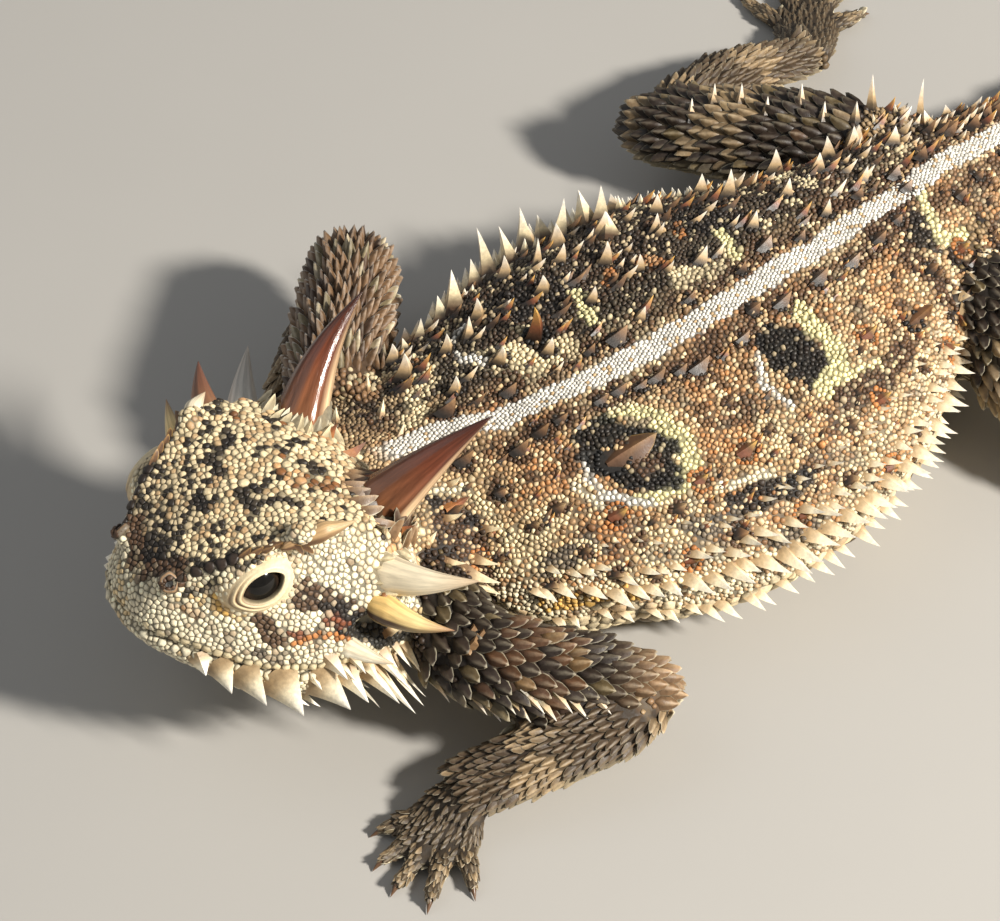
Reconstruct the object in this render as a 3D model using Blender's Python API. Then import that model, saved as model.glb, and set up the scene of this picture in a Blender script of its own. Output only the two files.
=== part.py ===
"""Texas horned lizard at life size, lying flat with its head raised.

Lengths are in millimetres until a mesh is made. The animal faces -Y, its left
side is +X, and the floor it lies on is z = 0.
"""

import math
import random

import bmesh
import bpy
from mathutils import Matrix, Vector
from mathutils.bvhtree import BVHTree

MM = 0.001
GAP = 0.3
SHOULDER_GAP = 0.45
SPINE_CLEARANCE = 0.35
SPINE_FLOOR = 0.1
SEED = 7
RAY_STEP = 1e-6

# Rows along the body from the neck to the tail's tip: x, y, z of the side edge, half width, rise, drop.
BODY_ROWS = [
    (-4.6, -19.0, 8.6, 8.0, 4.6, 4.4),
    (-3.9, -15.0, 7.8, 11.4, 5.7, 7.0),
    (-2.5, -9.0, 7.0, 14.8, 7.3, 7.8),
    (-1.6, -2.0, 6.6, 17.2, 8.2, 7.6),
    (-1.3, 5.0, 6.5, 17.7, 8.5, 7.6),
    (-1.6, 12.0, 6.5, 16.2, 8.4, 7.6),
    (-2.5, 19.0, 6.5, 12.8, 7.9, 7.4),
    (-3.5, 26.0, 6.3, 9.4, 7.1, 6.9),
    (-4.7, 32.0, 5.8, 7.8, 6.3, 6.2),
    (-5.9, 37.5, 5.0, 6.3, 5.3, 5.2),
    (-6.9, 41.5, 4.3, 5.2, 4.2, 4.4),
    (-8.4, 47.0, 3.3, 4.1, 3.1, 3.5),
    (-10.0, 54.0, 2.5, 3.0, 2.2, 2.7),
    (-10.9, 61.0, 1.8, 2.1, 1.6, 2.0),
    (-10.9, 68.0, 1.3, 1.4, 1.1, 1.4),
    (-10.1, 75.0, 0.9, 0.8, 0.7, 1.0),
    (-9.3, 78.5, 0.7, 0.35, 0.4, 0.5),
]
# Where each length of the body starts and ends, as a count of rows.
BODY_LENGTHS = {"torso": (0, 7), "pelvis": (7, 10), "tail": (10, 16)}
BODY_STEPS = 2
NECK_ROWS = [
    (-2.9, -28.5, 9.6, 6.5, 4.4, 3.6),
    (-3.2, -25.0, 9.4, 7.6, 4.6, 4.4),
    (-3.6, -21.5, 9.0, 8.6, 4.7, 5.0),
    (-3.8, -18.0, 8.4, 9.4, 5.0, 5.6),
    (-3.6, -14.0, 8.0, 10.0, 5.0, 6.0),
]

# The head is laid out in its own frame: x to the left, t back from the snout tip, h up from the mouth line.
SNOUT_TIP = (-3.4, -43.0, 13.6)
HEAD_YAW = math.radians(-2.5)
HEAD_PITCH = math.radians(17.0)
HEAD_ROLL = math.radians(2.5)
# Rows along the head: t, crown height, brow half width, brow height, lip half width, chin depth.
HEAD_ROWS = [
    (0.9, 1.6, 0.9, 1.2, 1.4, 0.8),
    (1.4, 3.2, 1.8, 2.7, 2.9, 1.4),
    (2.3, 4.8, 2.8, 4.3, 4.2, 2.0),
    (3.9, 6.5, 4.2, 6.0, 5.8, 2.7),
    (6.0, 8.0, 5.5, 7.6, 7.6, 3.4),
    (8.5, 9.3, 6.5, 9.0, 9.2, 4.1),
    (11.0, 10.0, 7.3, 9.8, 10.3, 4.6),
    (13.5, 10.2, 8.0, 9.4, 10.8, 4.8),
    (16.0, 9.8, 8.8, 7.9, 10.6, 4.8),
    (18.2, 8.9, 8.2, 6.5, 9.5, 4.6),
    (20.0, 7.2, 6.6, 5.2, 7.7, 4.1),
    (21.2, 5.2, 4.4, 3.8, 5.3, 3.3),
]
# The mouth line dips this far below the head's own level, most of all at this distance from the snout.
MOUTH_DIP = 0.9
MOUTH_DIP_AT = 8.0
MOUTH_DIP_REACH = 4.5
MOUTH_HALF_GAP = GAP / 2
EYE_AT = (5.3, 7.25, 5.3)
EYE_RADIUS = 2.2
LID_RADII = (3.35, 2.9, 2.7)
LID_OPENING = (1.45, 1.05, 2.2)
NOSTRIL_AT = (2.9, 2.1, 4.2)
EAR_AT = (10.9, 14.4, 2.3)

# Horns in the head's frame: root, tip, root radius, and how far the middle bows back.
HORNS = {
    "horn_occipital_left": ((5.0, 17.4, 8.2), (7.9, 22.9, 16.4), 1.85, 0.7),
    "horn_occipital_right": ((-5.0, 17.4, 8.2), (-7.9, 22.9, 16.4), 1.85, 0.7),
    "horn_temporal_upper_left": ((9.0, 15.7, 5.6), (14.6, 19.1, 8.1), 1.35, 0.5),
    "horn_temporal_upper_right": ((-9.0, 15.7, 5.6), (-14.6, 19.3, 8.1), 1.35, 0.5),
    "horn_temporal_lower_left": ((10.6, 14.9, 4.0), (14.7, 17.8, 4.3), 1.0, 0.4),
    "horn_temporal_lower_right": ((-9.9, 13.4, 5.8), (-16.2, 16.4, 6.4), 1.1, 0.3),
    "horn_temporal_small_left": ((10.1, 12.8, 0.9), (12.9, 14.8, 0.9), 0.75, 0.1),
    "horn_temporal_small_right": ((-11.0, 12.2, 3.2), (-16.2, 14.2, 3.6), 0.85, 0.1),
    "horn_brow_left": ((7.2, 8.9, 9.6), (8.2, 12.7, 10.4), 0.95, 0.2),
    "horn_brow_right": ((-6.9, 9.0, 9.4), (-8.5, 11.3, 10.1), 0.9, 0.1),
}

# Every horn's radius along it, as shares of its length and of its root's radius.
HORN_TAPER = ((-0.25, 1.05), (0.0, 1.0), (0.3, 0.82), (0.6, 0.52), (0.85, 0.22), (0.97, 0.06))

# Pointed shields along each side of the lower jaw: distance from the snout and length.
CHIN_SHIELDS = ((2.8, 0.8), (4.3, 1.1), (6.1, 1.5), (8.1, 2.0), (10.4, 2.5), (12.9, 2.8), (15.2, 2.3))

THROAT_SPINES = 5
# Small spines of the head: x, t, h and length.
HEAD_SPINES = ((10.3, 15.9, 1.4, 1.5), (7.4, 17.4, 7.6, 1.3), (5.4, 3.3, 4.9, 0.7), (2.3, 17.9, 9.0, 1.4))
# Spines of the neck's sides: place along the neck, angle above the side and length.
NECK_SPINES = ((4.6, 0.05, 2.6), (5.6, 0.25, 2.0), (5.2, -0.3, 1.8), (5.0, 0.8, 1.3), (6.2, 1.1, 1.2))

# Limb rows: x, y, z, half width, half height.
LIMB_ROWS = {
    "upper_arm_left": [
        (3.5, -21.5, 7.8, 3.2, 3.4),
        (8.0, -22.8, 7.4, 3.5, 3.5),
        (12.2, -21.0, 6.6, 3.5, 3.4),
        (16.2, -16.8, 5.6, 3.2, 3.1),
        (18.9, -13.6, 4.9, 2.2, 2.3),
        (19.8, -12.6, 4.7, 0.9, 1.0),
    ],
    "forearm_left": [
        (18.6, -13.8, 4.3, 2.2, 2.2),
        (18.9, -16.5, 4.2, 2.7, 2.6),
        (18.2, -21.0, 3.7, 2.7, 2.5),
        (17.0, -25.0, 2.9, 2.6, 2.0),
        (16.2, -28.0, 2.3, 2.5, 1.6),
    ],
    "upper_arm_right": [
        (-12.0, -18.0, 8.8, 3.8, 3.8),
        (-16.6, -14.8, 8.8, 3.5, 3.5),
        (-21.0, -11.0, 8.5, 3.3, 3.2),
        (-24.8, -7.8, 8.0, 3.0, 3.0),
        (-26.4, -6.4, 7.7, 2.1, 2.1),
        (-27.1, -5.8, 7.5, 0.9, 1.0),
    ],
    "forearm_right": [
        (-25.2, -7.0, 6.6, 2.3, 2.3),
        (-24.0, -9.8, 5.8, 2.6, 2.5),
        (-21.6, -14.2, 4.5, 2.4, 2.3),
        (-18.8, -18.6, 3.1, 2.0, 1.8),
        (-16.9, -21.6, 2.2, 1.8, 1.4),
    ],
    "thigh_left": [
        (-1.0, 29.5, 6.6, 3.9, 3.9),
        (4.5, 27.9, 6.8, 4.1, 4.1),
        (10.5, 26.3, 6.5, 3.8, 3.9),
        (16.0, 25.6, 5.6, 3.2, 3.3),
        (19.6, 25.7, 5.0, 2.8, 2.8),
        (21.5, 25.8, 4.7, 1.8, 1.9),
        (22.3, 25.9, 4.6, 0.8, 0.9),
    ],
    "shank_left": [
        (19.8, 26.2, 4.6, 2.2, 2.3),
        (20.7, 29.8, 4.4, 2.7, 2.6),
        (21.1, 34.6, 3.7, 2.4, 2.3),
        (20.7, 39.0, 2.8, 1.9, 1.8),
        (20.2, 42.0, 2.2, 1.7, 1.4),
    ],
    "thigh_right": [
        (-8.0, 33.5, 6.6, 4.0, 4.0),
        (-13.0, 30.2, 6.9, 4.1, 4.1),
        (-18.0, 26.6, 6.8, 3.8, 3.8),
        (-22.4, 23.4, 6.2, 3.2, 3.2),
        (-25.0, 21.5, 5.7, 2.8, 2.8),
        (-26.6, 20.4, 5.4, 1.8, 1.9),
        (-27.2, 20.0, 5.3, 0.8, 0.9),
    ],
    "shank_right": [
        (-25.0, 21.7, 5.0, 2.2, 2.3),
        (-26.4, 25.2, 4.8, 2.7, 2.6),
        (-27.6, 30.2, 3.9, 2.4, 2.3),
        (-27.8, 34.8, 2.9, 1.9, 1.8),
        (-27.6, 37.9, 2.2, 1.7, 1.4),
    ],
}

# Hands and feet: wrist, heading in degrees from +X, palm length, half width, and each digit's length.
PAWS = {
    "hand_left": ((16.5, -28.0, 1.9), -75.0, 3.8, 2.8, (1.9, 3.0, 3.9, 4.0, 2.6)),
    "hand_right": ((-16.7, -22.0, 1.9), -62.0, 3.8, 2.8, (1.9, 3.0, 3.9, 4.0, 2.6)),
    "foot_left": ((20.2, 42.4, 1.9), 38.0, 6.4, 2.5, (2.6, 4.2, 5.6, 7.2, 4.0)),
    "foot_right": ((-27.7, 38.3, 1.9), 140.0, 6.4, 2.5, (2.6, 4.2, 5.6, 7.2, 4.0)),
}
DIGIT_FANS = {"hand": (34.0, 12.0, -4.0, -24.0, -48.0), "foot": (50.0, 25.0, 5.0, -14.0, -42.0)}
DIGIT_RADIUS = 0.75
DIGIT_HEIGHT = 0.6

TRUNK_SIDES = 22
LIMB_SIDES = 10
HORN_SIDES = 10

COLOURS = {
    "skin_back": (0.46, 0.33, 0.21, 0.75),
    "skin_head": (0.60, 0.49, 0.33, 0.7),
    "skin_limb": (0.35, 0.26, 0.17, 0.75),
    "horn": (0.30, 0.11, 0.06, 0.35),
    "horn_pale": (0.66, 0.56, 0.40, 0.45),
    "eye": (0.02, 0.015, 0.01, 0.08),
}


def clear_scene():
    for obj in list(bpy.data.objects):
        bpy.data.objects.remove(obj)


def material(name, kind):
    red, green, blue, roughness = COLOURS[kind]
    made = bpy.data.materials.new(name)
    made.use_nodes = True
    shader = made.node_tree.nodes["Principled BSDF"]
    shader.inputs["Base Color"].default_value = (red, green, blue, 1.0)
    shader.inputs["Roughness"].default_value = roughness
    shader.inputs["Metallic"].default_value = 0.0
    return made


def mesh_object(name, points, faces):
    """A mesh object from points in millimetres."""
    mesh = bpy.data.meshes.new(name)
    mesh.from_pydata([Vector(p) * MM for p in points], [], faces)
    work = bmesh.new()
    work.from_mesh(mesh)
    bmesh.ops.triangulate(work, faces=work.faces[:])
    bmesh.ops.recalc_face_normals(work, faces=work.faces[:])
    work.to_mesh(mesh)
    work.free()
    obj = bpy.data.objects.new(name, mesh)
    bpy.context.scene.collection.objects.link(obj)
    return obj


def ring_mesh(name, rings):
    """A closed mesh through rings of equal length, capped at both ends."""
    sides = len(rings[0])
    points = [p for ring in rings for p in ring]
    faces = []
    for i in range(len(rings) - 1):
        for j in range(sides):
            a = i * sides + j
            b = i * sides + (j + 1) % sides
            faces.append((a, b, b + sides, a + sides))
    last = (len(rings) - 1) * sides
    faces.append(tuple(reversed(range(sides))))
    faces.append(tuple(range(last, last + sides)))
    return mesh_object(name, points, faces)


def curve_through(rows, position):
    """The row at a real-valued position along the rows, on a Catmull-Rom curve."""
    last = len(rows) - 1
    i = min(int(position), last - 1)
    t = position - i
    before = rows[max(i - 1, 0)]
    start = rows[i]
    end = rows[i + 1]
    after = rows[min(i + 2, last)]
    return [
        0.5 * (2 * b + (c - a) * t + (2 * a - 5 * b + 4 * c - d) * t * t + (3 * b - a - 3 * c + d) * t**3)
        for a, b, c, d in zip(before, start, end, after)
    ]


def fine_rows(rows, steps):
    """The rows with the given number of steps on each span."""
    count = (len(rows) - 1) * steps
    return [curve_through(rows, k / steps) for k in range(count + 1)]


def above_floor(point):
    """The point, lifted to the floor if it is lower."""
    return Vector((point.x, point.y, max(point.z, 0.0)))


class Tube:
    """A smooth tube of oval sections; a row is x, y, z, half width, rise and, if it differs, drop."""

    def __init__(self, rows, steps, sides, squareness=1.0):
        self.rows = fine_rows([r if len(r) == 6 else (*r, r[4]) for r in rows], steps)
        self.sides = sides
        self.squareness = squareness

    def frame(self, position):
        """Centre, direction along the tube, side and up vectors, and the three half sizes."""
        last = len(self.rows) - 1
        row = curve_through(self.rows, position)
        behind = Vector(curve_through(self.rows, max(position - 0.5, 0))[:3])
        ahead = Vector(curve_through(self.rows, min(position + 0.5, last))[:3])
        along = (ahead - behind).normalized()
        side = along.cross(Vector((0, 0, 1))).normalized()
        up = side.cross(along)
        return Vector(row[:3]), along, side, up, row[3:]

    def point(self, position, angle, grow=0.0):
        """A point on the surface; angle runs from the side vector up over the top."""
        centre, _, side, up, (half_width, rise, drop) = self.frame(position)
        across, tall = math.cos(angle), math.sin(angle)
        if tall < 0:
            across = math.copysign(abs(across) ** self.squareness, across)
            tall = math.copysign(abs(tall) ** self.squareness, tall)
        reach = (rise if tall >= 0 else drop) + grow
        return above_floor(centre + side * (half_width + grow) * across + up * reach * tall)

    def normal(self, position, angle):
        last = len(self.rows) - 1
        low, high = max(position - 0.2, 0), min(position + 0.2, last)
        lengthwise = self.point(high, angle) - self.point(low, angle)
        round_about = self.point(position, angle + 0.1) - self.point(position, angle - 0.1)
        made = round_about.cross(lengthwise).normalized()
        outward = self.point(position, angle) - self.frame(position)[0]
        return made if made.dot(outward) > 0 else -made

    def rings(self, first=0, last=None, grow=0.0):
        last = len(self.rows) - 1 if last is None else last
        turns = [2 * math.pi * j / self.sides for j in range(self.sides)]
        return [[self.point(i, a, grow) for a in turns] for i in range(first, last + 1)]

    def solid(self, name, first=0, last=None, grow=0.0, trim=(0.0, 0.0)):
        """The tube as a closed mesh, each end cap moved inwards by its trim."""
        rings = self.rings(first, last, grow)
        start_along = self.frame(first)[1]
        end_along = self.frame(len(self.rows) - 1 if last is None else last)[1]
        rings[0] = [above_floor(p + start_along * (trim[0] - grow)) for p in rings[0]]
        rings[-1] = [above_floor(p - end_along * (trim[1] - grow)) for p in rings[-1]]
        return ring_mesh(name, rings)


def head_matrix():
    """From the head's frame (left, back, up) to the world."""
    forward = Vector((
        math.sin(HEAD_YAW) * math.cos(HEAD_PITCH),
        -math.cos(HEAD_YAW) * math.cos(HEAD_PITCH),
        math.sin(HEAD_PITCH),
    ))
    level_left = Vector((math.cos(HEAD_YAW), math.sin(HEAD_YAW), 0))
    level_up = forward.cross(level_left)
    left = level_left * math.cos(HEAD_ROLL) + level_up * math.sin(HEAD_ROLL)
    up = level_up * math.cos(HEAD_ROLL) - level_left * math.sin(HEAD_ROLL)
    turn = Matrix((left, -forward, up)).transposed().to_4x4()
    return Matrix.Translation(SNOUT_TIP) @ turn


HEAD = head_matrix()


def on_head(point, side=1):
    """A head-frame point in the world; side -1 mirrors it to the right."""
    return HEAD @ Vector((point[0] * side, point[1], point[2]))


def mouth_line(t):
    """Height of the mouth line at a distance from the snout."""
    return -MOUTH_DIP * math.exp(-(((t - MOUTH_DIP_AT) / MOUTH_DIP_REACH) ** 2))


def cranium_ring(row):
    """Half-section points of the upper head, from the left lip over the crown to the right lip."""
    t, crown, brow_width, brow_height, lip, _ = row
    low = mouth_line(t) + MOUTH_HALF_GAP
    left = []
    for k in range(6):
        f = k / 6
        bulge = 0.35 * math.sin(math.pi * f)
        across = lip + (brow_width - lip) * f**1.3 + bulge
        left.append((across, t, low + (brow_height - low) * f))
    for k in range(5):
        a = k / 5 * math.pi / 2
        left.append((brow_width * math.cos(a), t, brow_height + (crown - brow_height) * math.sin(a)))
    right = [(-x, t, h) for x, t, h in reversed(left)]
    return left + [(0, t, crown)] + right


def jaw_ring(row, points=9):
    """Half-section points of the lower jaw, flat along the mouth line."""
    t, _, _, _, lip, chin = row
    top = mouth_line(t) - MOUTH_HALF_GAP
    made = []
    for k in range(points):
        turn = math.pi * k / (points - 1)
        across = -lip * (1 + 0.08 * math.sin(2 * turn) ** 2) * math.cos(turn)
        made.append((across, t, top - chin * math.sin(turn) ** 0.8))
    return made


def head_solid(name, ring, steps):
    """A half of the head through its rows, with a rounded back."""
    rows = fine_rows(HEAD_ROWS, steps)
    return ring_mesh(name, [[on_head(p) for p in ring(row)] for row in rows])


def ball(name, centre, radii, turn=None, segments=14, rings=8):
    """An ellipsoid in millimetres, its axes along the columns of turn."""
    work = bmesh.new()
    bmesh.ops.create_uvsphere(work, u_segments=segments, v_segments=rings, radius=1.0)
    sized = Matrix.Diagonal((*radii, 1.0))
    turned = (turn or Matrix()).to_4x4()
    placed = Matrix.Translation(Vector(centre) * MM) @ turned @ Matrix.Scale(MM, 4) @ sized
    bmesh.ops.transform(work, matrix=placed, verts=work.verts[:])
    mesh = bpy.data.meshes.new(name)
    work.to_mesh(mesh)
    work.free()
    obj = bpy.data.objects.new(name, mesh)
    bpy.context.scene.collection.objects.link(obj)
    return obj


def grown(obj, distance):
    """A copy of the object with its surface moved outwards by the distance."""
    copy = obj.copy()
    copy.data = obj.data.copy()
    bpy.context.scene.collection.objects.link(copy)
    moved = [v.co + v.normal * distance * MM for v in copy.data.vertices]
    for vertex, place in zip(copy.data.vertices, moved):
        vertex.co = place
    return copy


def apply_boolean(obj, operation, others, solver="EXACT"):
    """One Boolean of obj with all the others, which are then removed."""
    if not others:
        return
    group = bpy.data.collections.new("joined")
    bpy.context.scene.collection.children.link(group)
    for other in others:
        group.objects.link(other)
    modifier = obj.modifiers.new(operation.lower(), "BOOLEAN")
    modifier.operation = operation
    modifier.operand_type = "COLLECTION"
    modifier.collection = group
    modifier.solver = solver
    bpy.context.view_layer.objects.active = obj
    bpy.ops.object.modifier_apply(modifier=modifier.name)
    for other in others:
        bpy.data.objects.remove(other)
    bpy.data.collections.remove(group)
    keep_largest(obj)


def keep_largest(obj):
    """Drops every closed surface of the object but the largest."""
    work = bmesh.new()
    work.from_mesh(obj.data)
    unseen = set(work.faces)
    groups = []
    while unseen:
        stack = [unseen.pop()]
        group = set(stack)
        while stack:
            for edge in stack.pop().edges:
                for face in edge.link_faces:
                    if face in unseen:
                        unseen.discard(face)
                        group.add(face)
                        stack.append(face)
        groups.append(group)
    groups.sort(key=lambda group: sum(face.calc_area() for face in group), reverse=True)
    loose = [face for group in groups[1:] for face in group]
    bmesh.ops.delete(work, geom=loose, context="FACES")
    work.to_mesh(obj.data)
    work.free()


def spine(root, direction, length, width, thickness=None, flat_to=None, rings=2, sides=4, sink=0.5):
    """A pointed spine, sunk into its root; flat_to is the normal that a flattened one lies under."""
    thickness = width if thickness is None else thickness
    along = direction.normalized()
    level = flat_to or (Vector((0, 0, 1)) if abs(along.z) < 0.9 else Vector((0, 1, 0)))
    across = along.cross(level).normalized()
    over = across.cross(along)
    sections = []
    for share, size in ((-sink / length, 1.0), (0.5, 0.62))[:rings]:
        centre = root + along * length * share
        turns = [2 * math.pi * j / sides for j in range(sides)]
        sections.append([
            centre + across * width * size * math.cos(a) + over * thickness * size * math.sin(a)
            for a in turns
        ])
    points = [p for ring in sections for p in ring] + [root + along * length]
    for point in points:
        point.z = max(point.z, SPINE_FLOOR)
    faces = [tuple(reversed(range(sides)))]
    for i in range(len(sections) - 1):
        for j in range(sides):
            a = i * sides + j
            b = i * sides + (j + 1) % sides
            faces.append((a, b, b + sides, a + sides))
    top = (len(sections) - 1) * sides
    faces += [(top + j, top + (j + 1) % sides, len(points) - 1) for j in range(sides)]
    return mesh_object("spine", points, faces)


def is_inside(tree, point):
    """Whether the point is inside the closed surface, by counting the faces that a ray crosses."""
    ray = Vector((0.31, 0.17, 0.93)).normalized()
    crossed = 0
    hit, _, _, _ = tree.ray_cast(point, ray)
    while hit:
        crossed += 1
        hit, _, _, _ = tree.ray_cast(hit + ray * RAY_STEP, ray)
    return crossed % 2 == 1


class Wardrobe:
    """Grows spines on the nodes and keeps each one clear of every other node."""

    def __init__(self, nodes):
        bpy.context.view_layer.update()
        graph = bpy.context.evaluated_depsgraph_get()
        self.trees = {name: BVHTree.FromObject(obj, graph) for name, obj in nodes.items()}
        self.nodes = nodes
        self.spines = {name: [] for name in nodes}
        self.kept = []

    def is_clear(self, node, root, samples):
        for name, tree in self.trees.items():
            if name == node:
                continue
            if is_inside(tree, root * MM):
                return False
            if any(tree.find_nearest(p * MM)[3] < SPINE_CLEARANCE * MM for p in samples):
                return False
        for other, place, reach in self.kept:
            if other != node and any((place - p).length < reach + SPINE_CLEARANCE for p in samples):
                return False
        return True

    def add(self, node, root, direction, length, width, **form):
        """Grows one spine, unless it would reach the floor or another node."""
        along = direction.normalized()
        if (root + along * length).z < GAP:
            return
        made = spine(root, direction, length, width, **form)
        corners = [v.co / MM for v in made.data.vertices]
        samples = [root.lerp(corner, share) for corner in corners for share in (0.25, 0.6, 1.0)]
        if not self.is_clear(node, root, samples):
            bpy.data.objects.remove(made)
            return
        for share in (0.2, 0.5, 0.8, 1.0):
            self.kept.append((node, root + along * length * share, width * (1 - share)))
        self.spines[node].append(made)

    def join(self):
        for name, spines in self.spines.items():
            apply_boolean(self.nodes[name], "UNION", spines, "MANIFOLD" if name == "head" else "EXACT")


def build_body(tube):
    """The torso, the pelvis and the tail, as lengths of one tube with the gap between them."""
    nodes = {}
    for name, (first, last) in BODY_LENGTHS.items():
        trim = (GAP / 2 if first else 0, GAP / 2 if name != "tail" else 0)
        nodes[name] = tube.solid(name, first * BODY_STEPS, last * BODY_STEPS, trim=trim)
    return nodes


def build_head():
    """The upper head with its lids, nostrils and ears, the lower jaw, the eyes and the horns."""
    head = head_solid("head", cranium_ring, 1)
    eyes, lids, holes = {}, [], []
    turn = HEAD.to_3x3()
    for side, word in ((1, "left"), (-1, "right")):
        centre = on_head(EYE_AT, side)
        gaze = (turn @ Vector((0.93 * side, -0.30, 0.22))).normalized()
        back = turn @ Vector((0, 1, 0))
        rise = back.cross(gaze).normalized() * side
        look = Matrix((rise.cross(gaze), rise, gaze)).transposed()
        eyes[f"eye_{word}"] = ball(f"eye_{word}", centre, [EYE_RADIUS] * 3)
        lids.append(ball("lid", centre, LID_RADII, look, 14, 8))
        holes.append(ball("socket", centre, [EYE_RADIUS + GAP] * 3, None, 12, 8))
        holes.append(ball("lid_opening", centre + gaze * (LID_RADII[2] - 0.4), LID_OPENING, look, 12, 6))
        nostril = on_head(NOSTRIL_AT, side)
        lids.append(ball("nostril_rim", nostril, (0.9, 0.9, 0.7), turn, 8, 5))
        opening = nostril + turn @ Vector((0.5 * side, -0.3, 0.35))
        holes.append(ball("nostril", opening, (0.4, 0.4, 0.5), turn, 6, 5))
        holes.append(ball("ear", on_head(EAR_AT, side), (0.9, 1.25, 1.5), turn, 10, 6))
        lids += brow_ridge(side)
    apply_boolean(head, "UNION", lids, "MANIFOLD")
    apply_boolean(head, "DIFFERENCE", holes, "MANIFOLD")
    horns = build_horns(head)
    jaw = head_solid("lower_jaw", jaw_ring, 1)
    return {"head": head, "lower_jaw": jaw, **eyes, **horns}


def brow_ridge(side):
    """The raised row of scales from the nostril over the eye, as one tapered bar."""
    rows = []
    for t in (2.2, 4.2, 6.4, 8.6, 10.6, 12.4):
        row = curve_through(HEAD_ROWS, row_position(t))
        place = on_head((row[2], t, row[3] - 0.15), side)
        rows.append((*place, 0.55, 0.5))
    return [Tube(rows, 1, 8).solid("brow_ridge")]


def row_position(t):
    """Where along HEAD_ROWS the distance t from the snout falls."""
    for i in range(len(HEAD_ROWS) - 1):
        low, high = HEAD_ROWS[i][0], HEAD_ROWS[i + 1][0]
        if low <= t <= high:
            return i + (t - low) / (high - low)
    return len(HEAD_ROWS) - 1


def build_horns(head):
    """Every horn as its own cone, its root cut to the skull with the gap."""
    horns = {}
    for name, (root, tip, radius, bow) in HORNS.items():
        start, end = on_head(root), on_head(tip)
        along = (end - start).normalized()
        across = along.cross(Vector((0, 1, 0))).normalized()
        over = across.cross(along)
        rings = []
        for share, size in HORN_TAPER:
            centre = start.lerp(end, share) - over * bow * math.sin(math.pi * max(share, 0))
            turns = [2 * math.pi * j / HORN_SIDES for j in range(HORN_SIDES)]
            spokes = [across * math.cos(a) + over * math.sin(a) for a in turns]
            rings.append([centre + spoke * radius * size for spoke in spokes])
        horns[name] = ring_mesh(name, rings)
        apply_boolean(horns[name], "DIFFERENCE", [grown(head, GAP)])
    return horns


def build_limbs(nodes, tubes):
    """The limb lengths, each cut clear of what it grows from."""
    around = {"upper_arm": ("body", "neck"), "forearm": ("body",), "thigh": ("body",), "shank": ("body",)}
    above = {"forearm": "upper_arm", "shank": "thigh"}
    for name, rows in LIMB_ROWS.items():
        kind, word = name.rsplit("_", 1)
        tubes[name] = Tube(rows, 2, LIMB_SIDES)
        limb = tubes[name].solid(name)
        nodes[name] = limb
        cutters = [tubes[other].solid("around", grow=GAP) for other in around[kind]]
        if kind == "upper_arm":
            cutters += [grown(nodes[other], SHOULDER_GAP) for other in ("head", "lower_jaw")]
        if kind in above:
            cutters.append(tubes[f"{above[kind]}_{word}"].solid("above", grow=GAP))
        for cutter in cutters:
            apply_boolean(limb, "DIFFERENCE", [cutter])


def paw_digits(name):
    """Root, direction and length of each digit of a hand or foot."""
    wrist, heading, length, half_width, digits = PAWS[name]
    turn = -1 if name in ("hand_left", "foot_right") else 1
    fan = DIGIT_FANS[name.split("_")[0]]
    ahead = math.radians(heading)
    forward = Vector((math.cos(ahead), math.sin(ahead), 0))
    inner = Vector((math.sin(ahead), -math.cos(ahead), 0)) * -turn
    made = []
    for k, reach in enumerate(digits):
        spread = math.radians(fan[k])
        across = half_width * (0.8 - 0.4 * k)
        root = Vector(wrist) + forward * length * (0.78 if k in (0, 4) else 0.95) + inner * across
        root.z = DIGIT_HEIGHT
        heading_of = forward * math.cos(spread) + inner * math.sin(spread)
        made.append((root, heading_of.normalized(), reach))
    return made


def build_paws(nodes, tubes):
    """Hands and feet: a flat palm with five jointed digits and claws, resting on the floor."""
    for name, (wrist, heading, length, half_width, _) in PAWS.items():
        ahead = math.radians(heading)
        forward = Vector((math.cos(ahead), math.sin(ahead), 0))
        start = Vector(wrist)
        limb = name.replace("hand", "forearm").replace("foot", "shank")
        rows = [
            (*(start - forward * 0.8), 1.6, 1.1),
            (*(start + forward * length * 0.2), 2.2, 1.3),
            (*(start + forward * length * 0.6 - Vector((0, 0, 0.85))), half_width, 1.1),
            (*(start + forward * length * 0.95 - Vector((0, 0, 1.05))), half_width * 0.9, 0.9),
            (*(start + forward * length * 1.1 - Vector((0, 0, 1.1))), half_width * 0.6, 0.6),
        ]
        tubes[name] = Tube(rows, 1, 12, squareness=0.8)
        paw = tubes[name].solid(name)
        digits = []
        for root, along, reach in paw_digits(name):
            digit = [
                (*(root - along * 1.2), DIGIT_RADIUS, DIGIT_RADIUS),
                (*(root + along * reach * 0.35 + Vector((0, 0, 0.25))), DIGIT_RADIUS, DIGIT_RADIUS * 0.95),
                (*(root + along * reach * 0.7), DIGIT_RADIUS * 0.85, DIGIT_RADIUS * 0.85),
                (*(root + along * reach), DIGIT_RADIUS * 0.7, DIGIT_RADIUS * 0.8),
                (*(root + along * (reach + 0.6) - Vector((0, 0, 0.2))), 0.3, 0.35),
                (*(root + along * (reach + 1.3) - Vector((0, 0, 0.5))), 0.1, 0.12),
            ]
            digits.append(Tube(digit, 1, 6).solid("digit"))
        apply_boolean(paw, "UNION", digits)
        apply_boolean(paw, "DIFFERENCE", [tubes[limb].solid("above", grow=GAP)])
        nodes[name] = paw


def body_node(place):
    """The node that a place along the body tube belongs to, or None beside a gap."""
    for name, (first, last) in BODY_LENGTHS.items():
        if first * BODY_STEPS + 0.15 < place < last * BODY_STEPS - 0.15:
            return name
    return None


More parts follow.
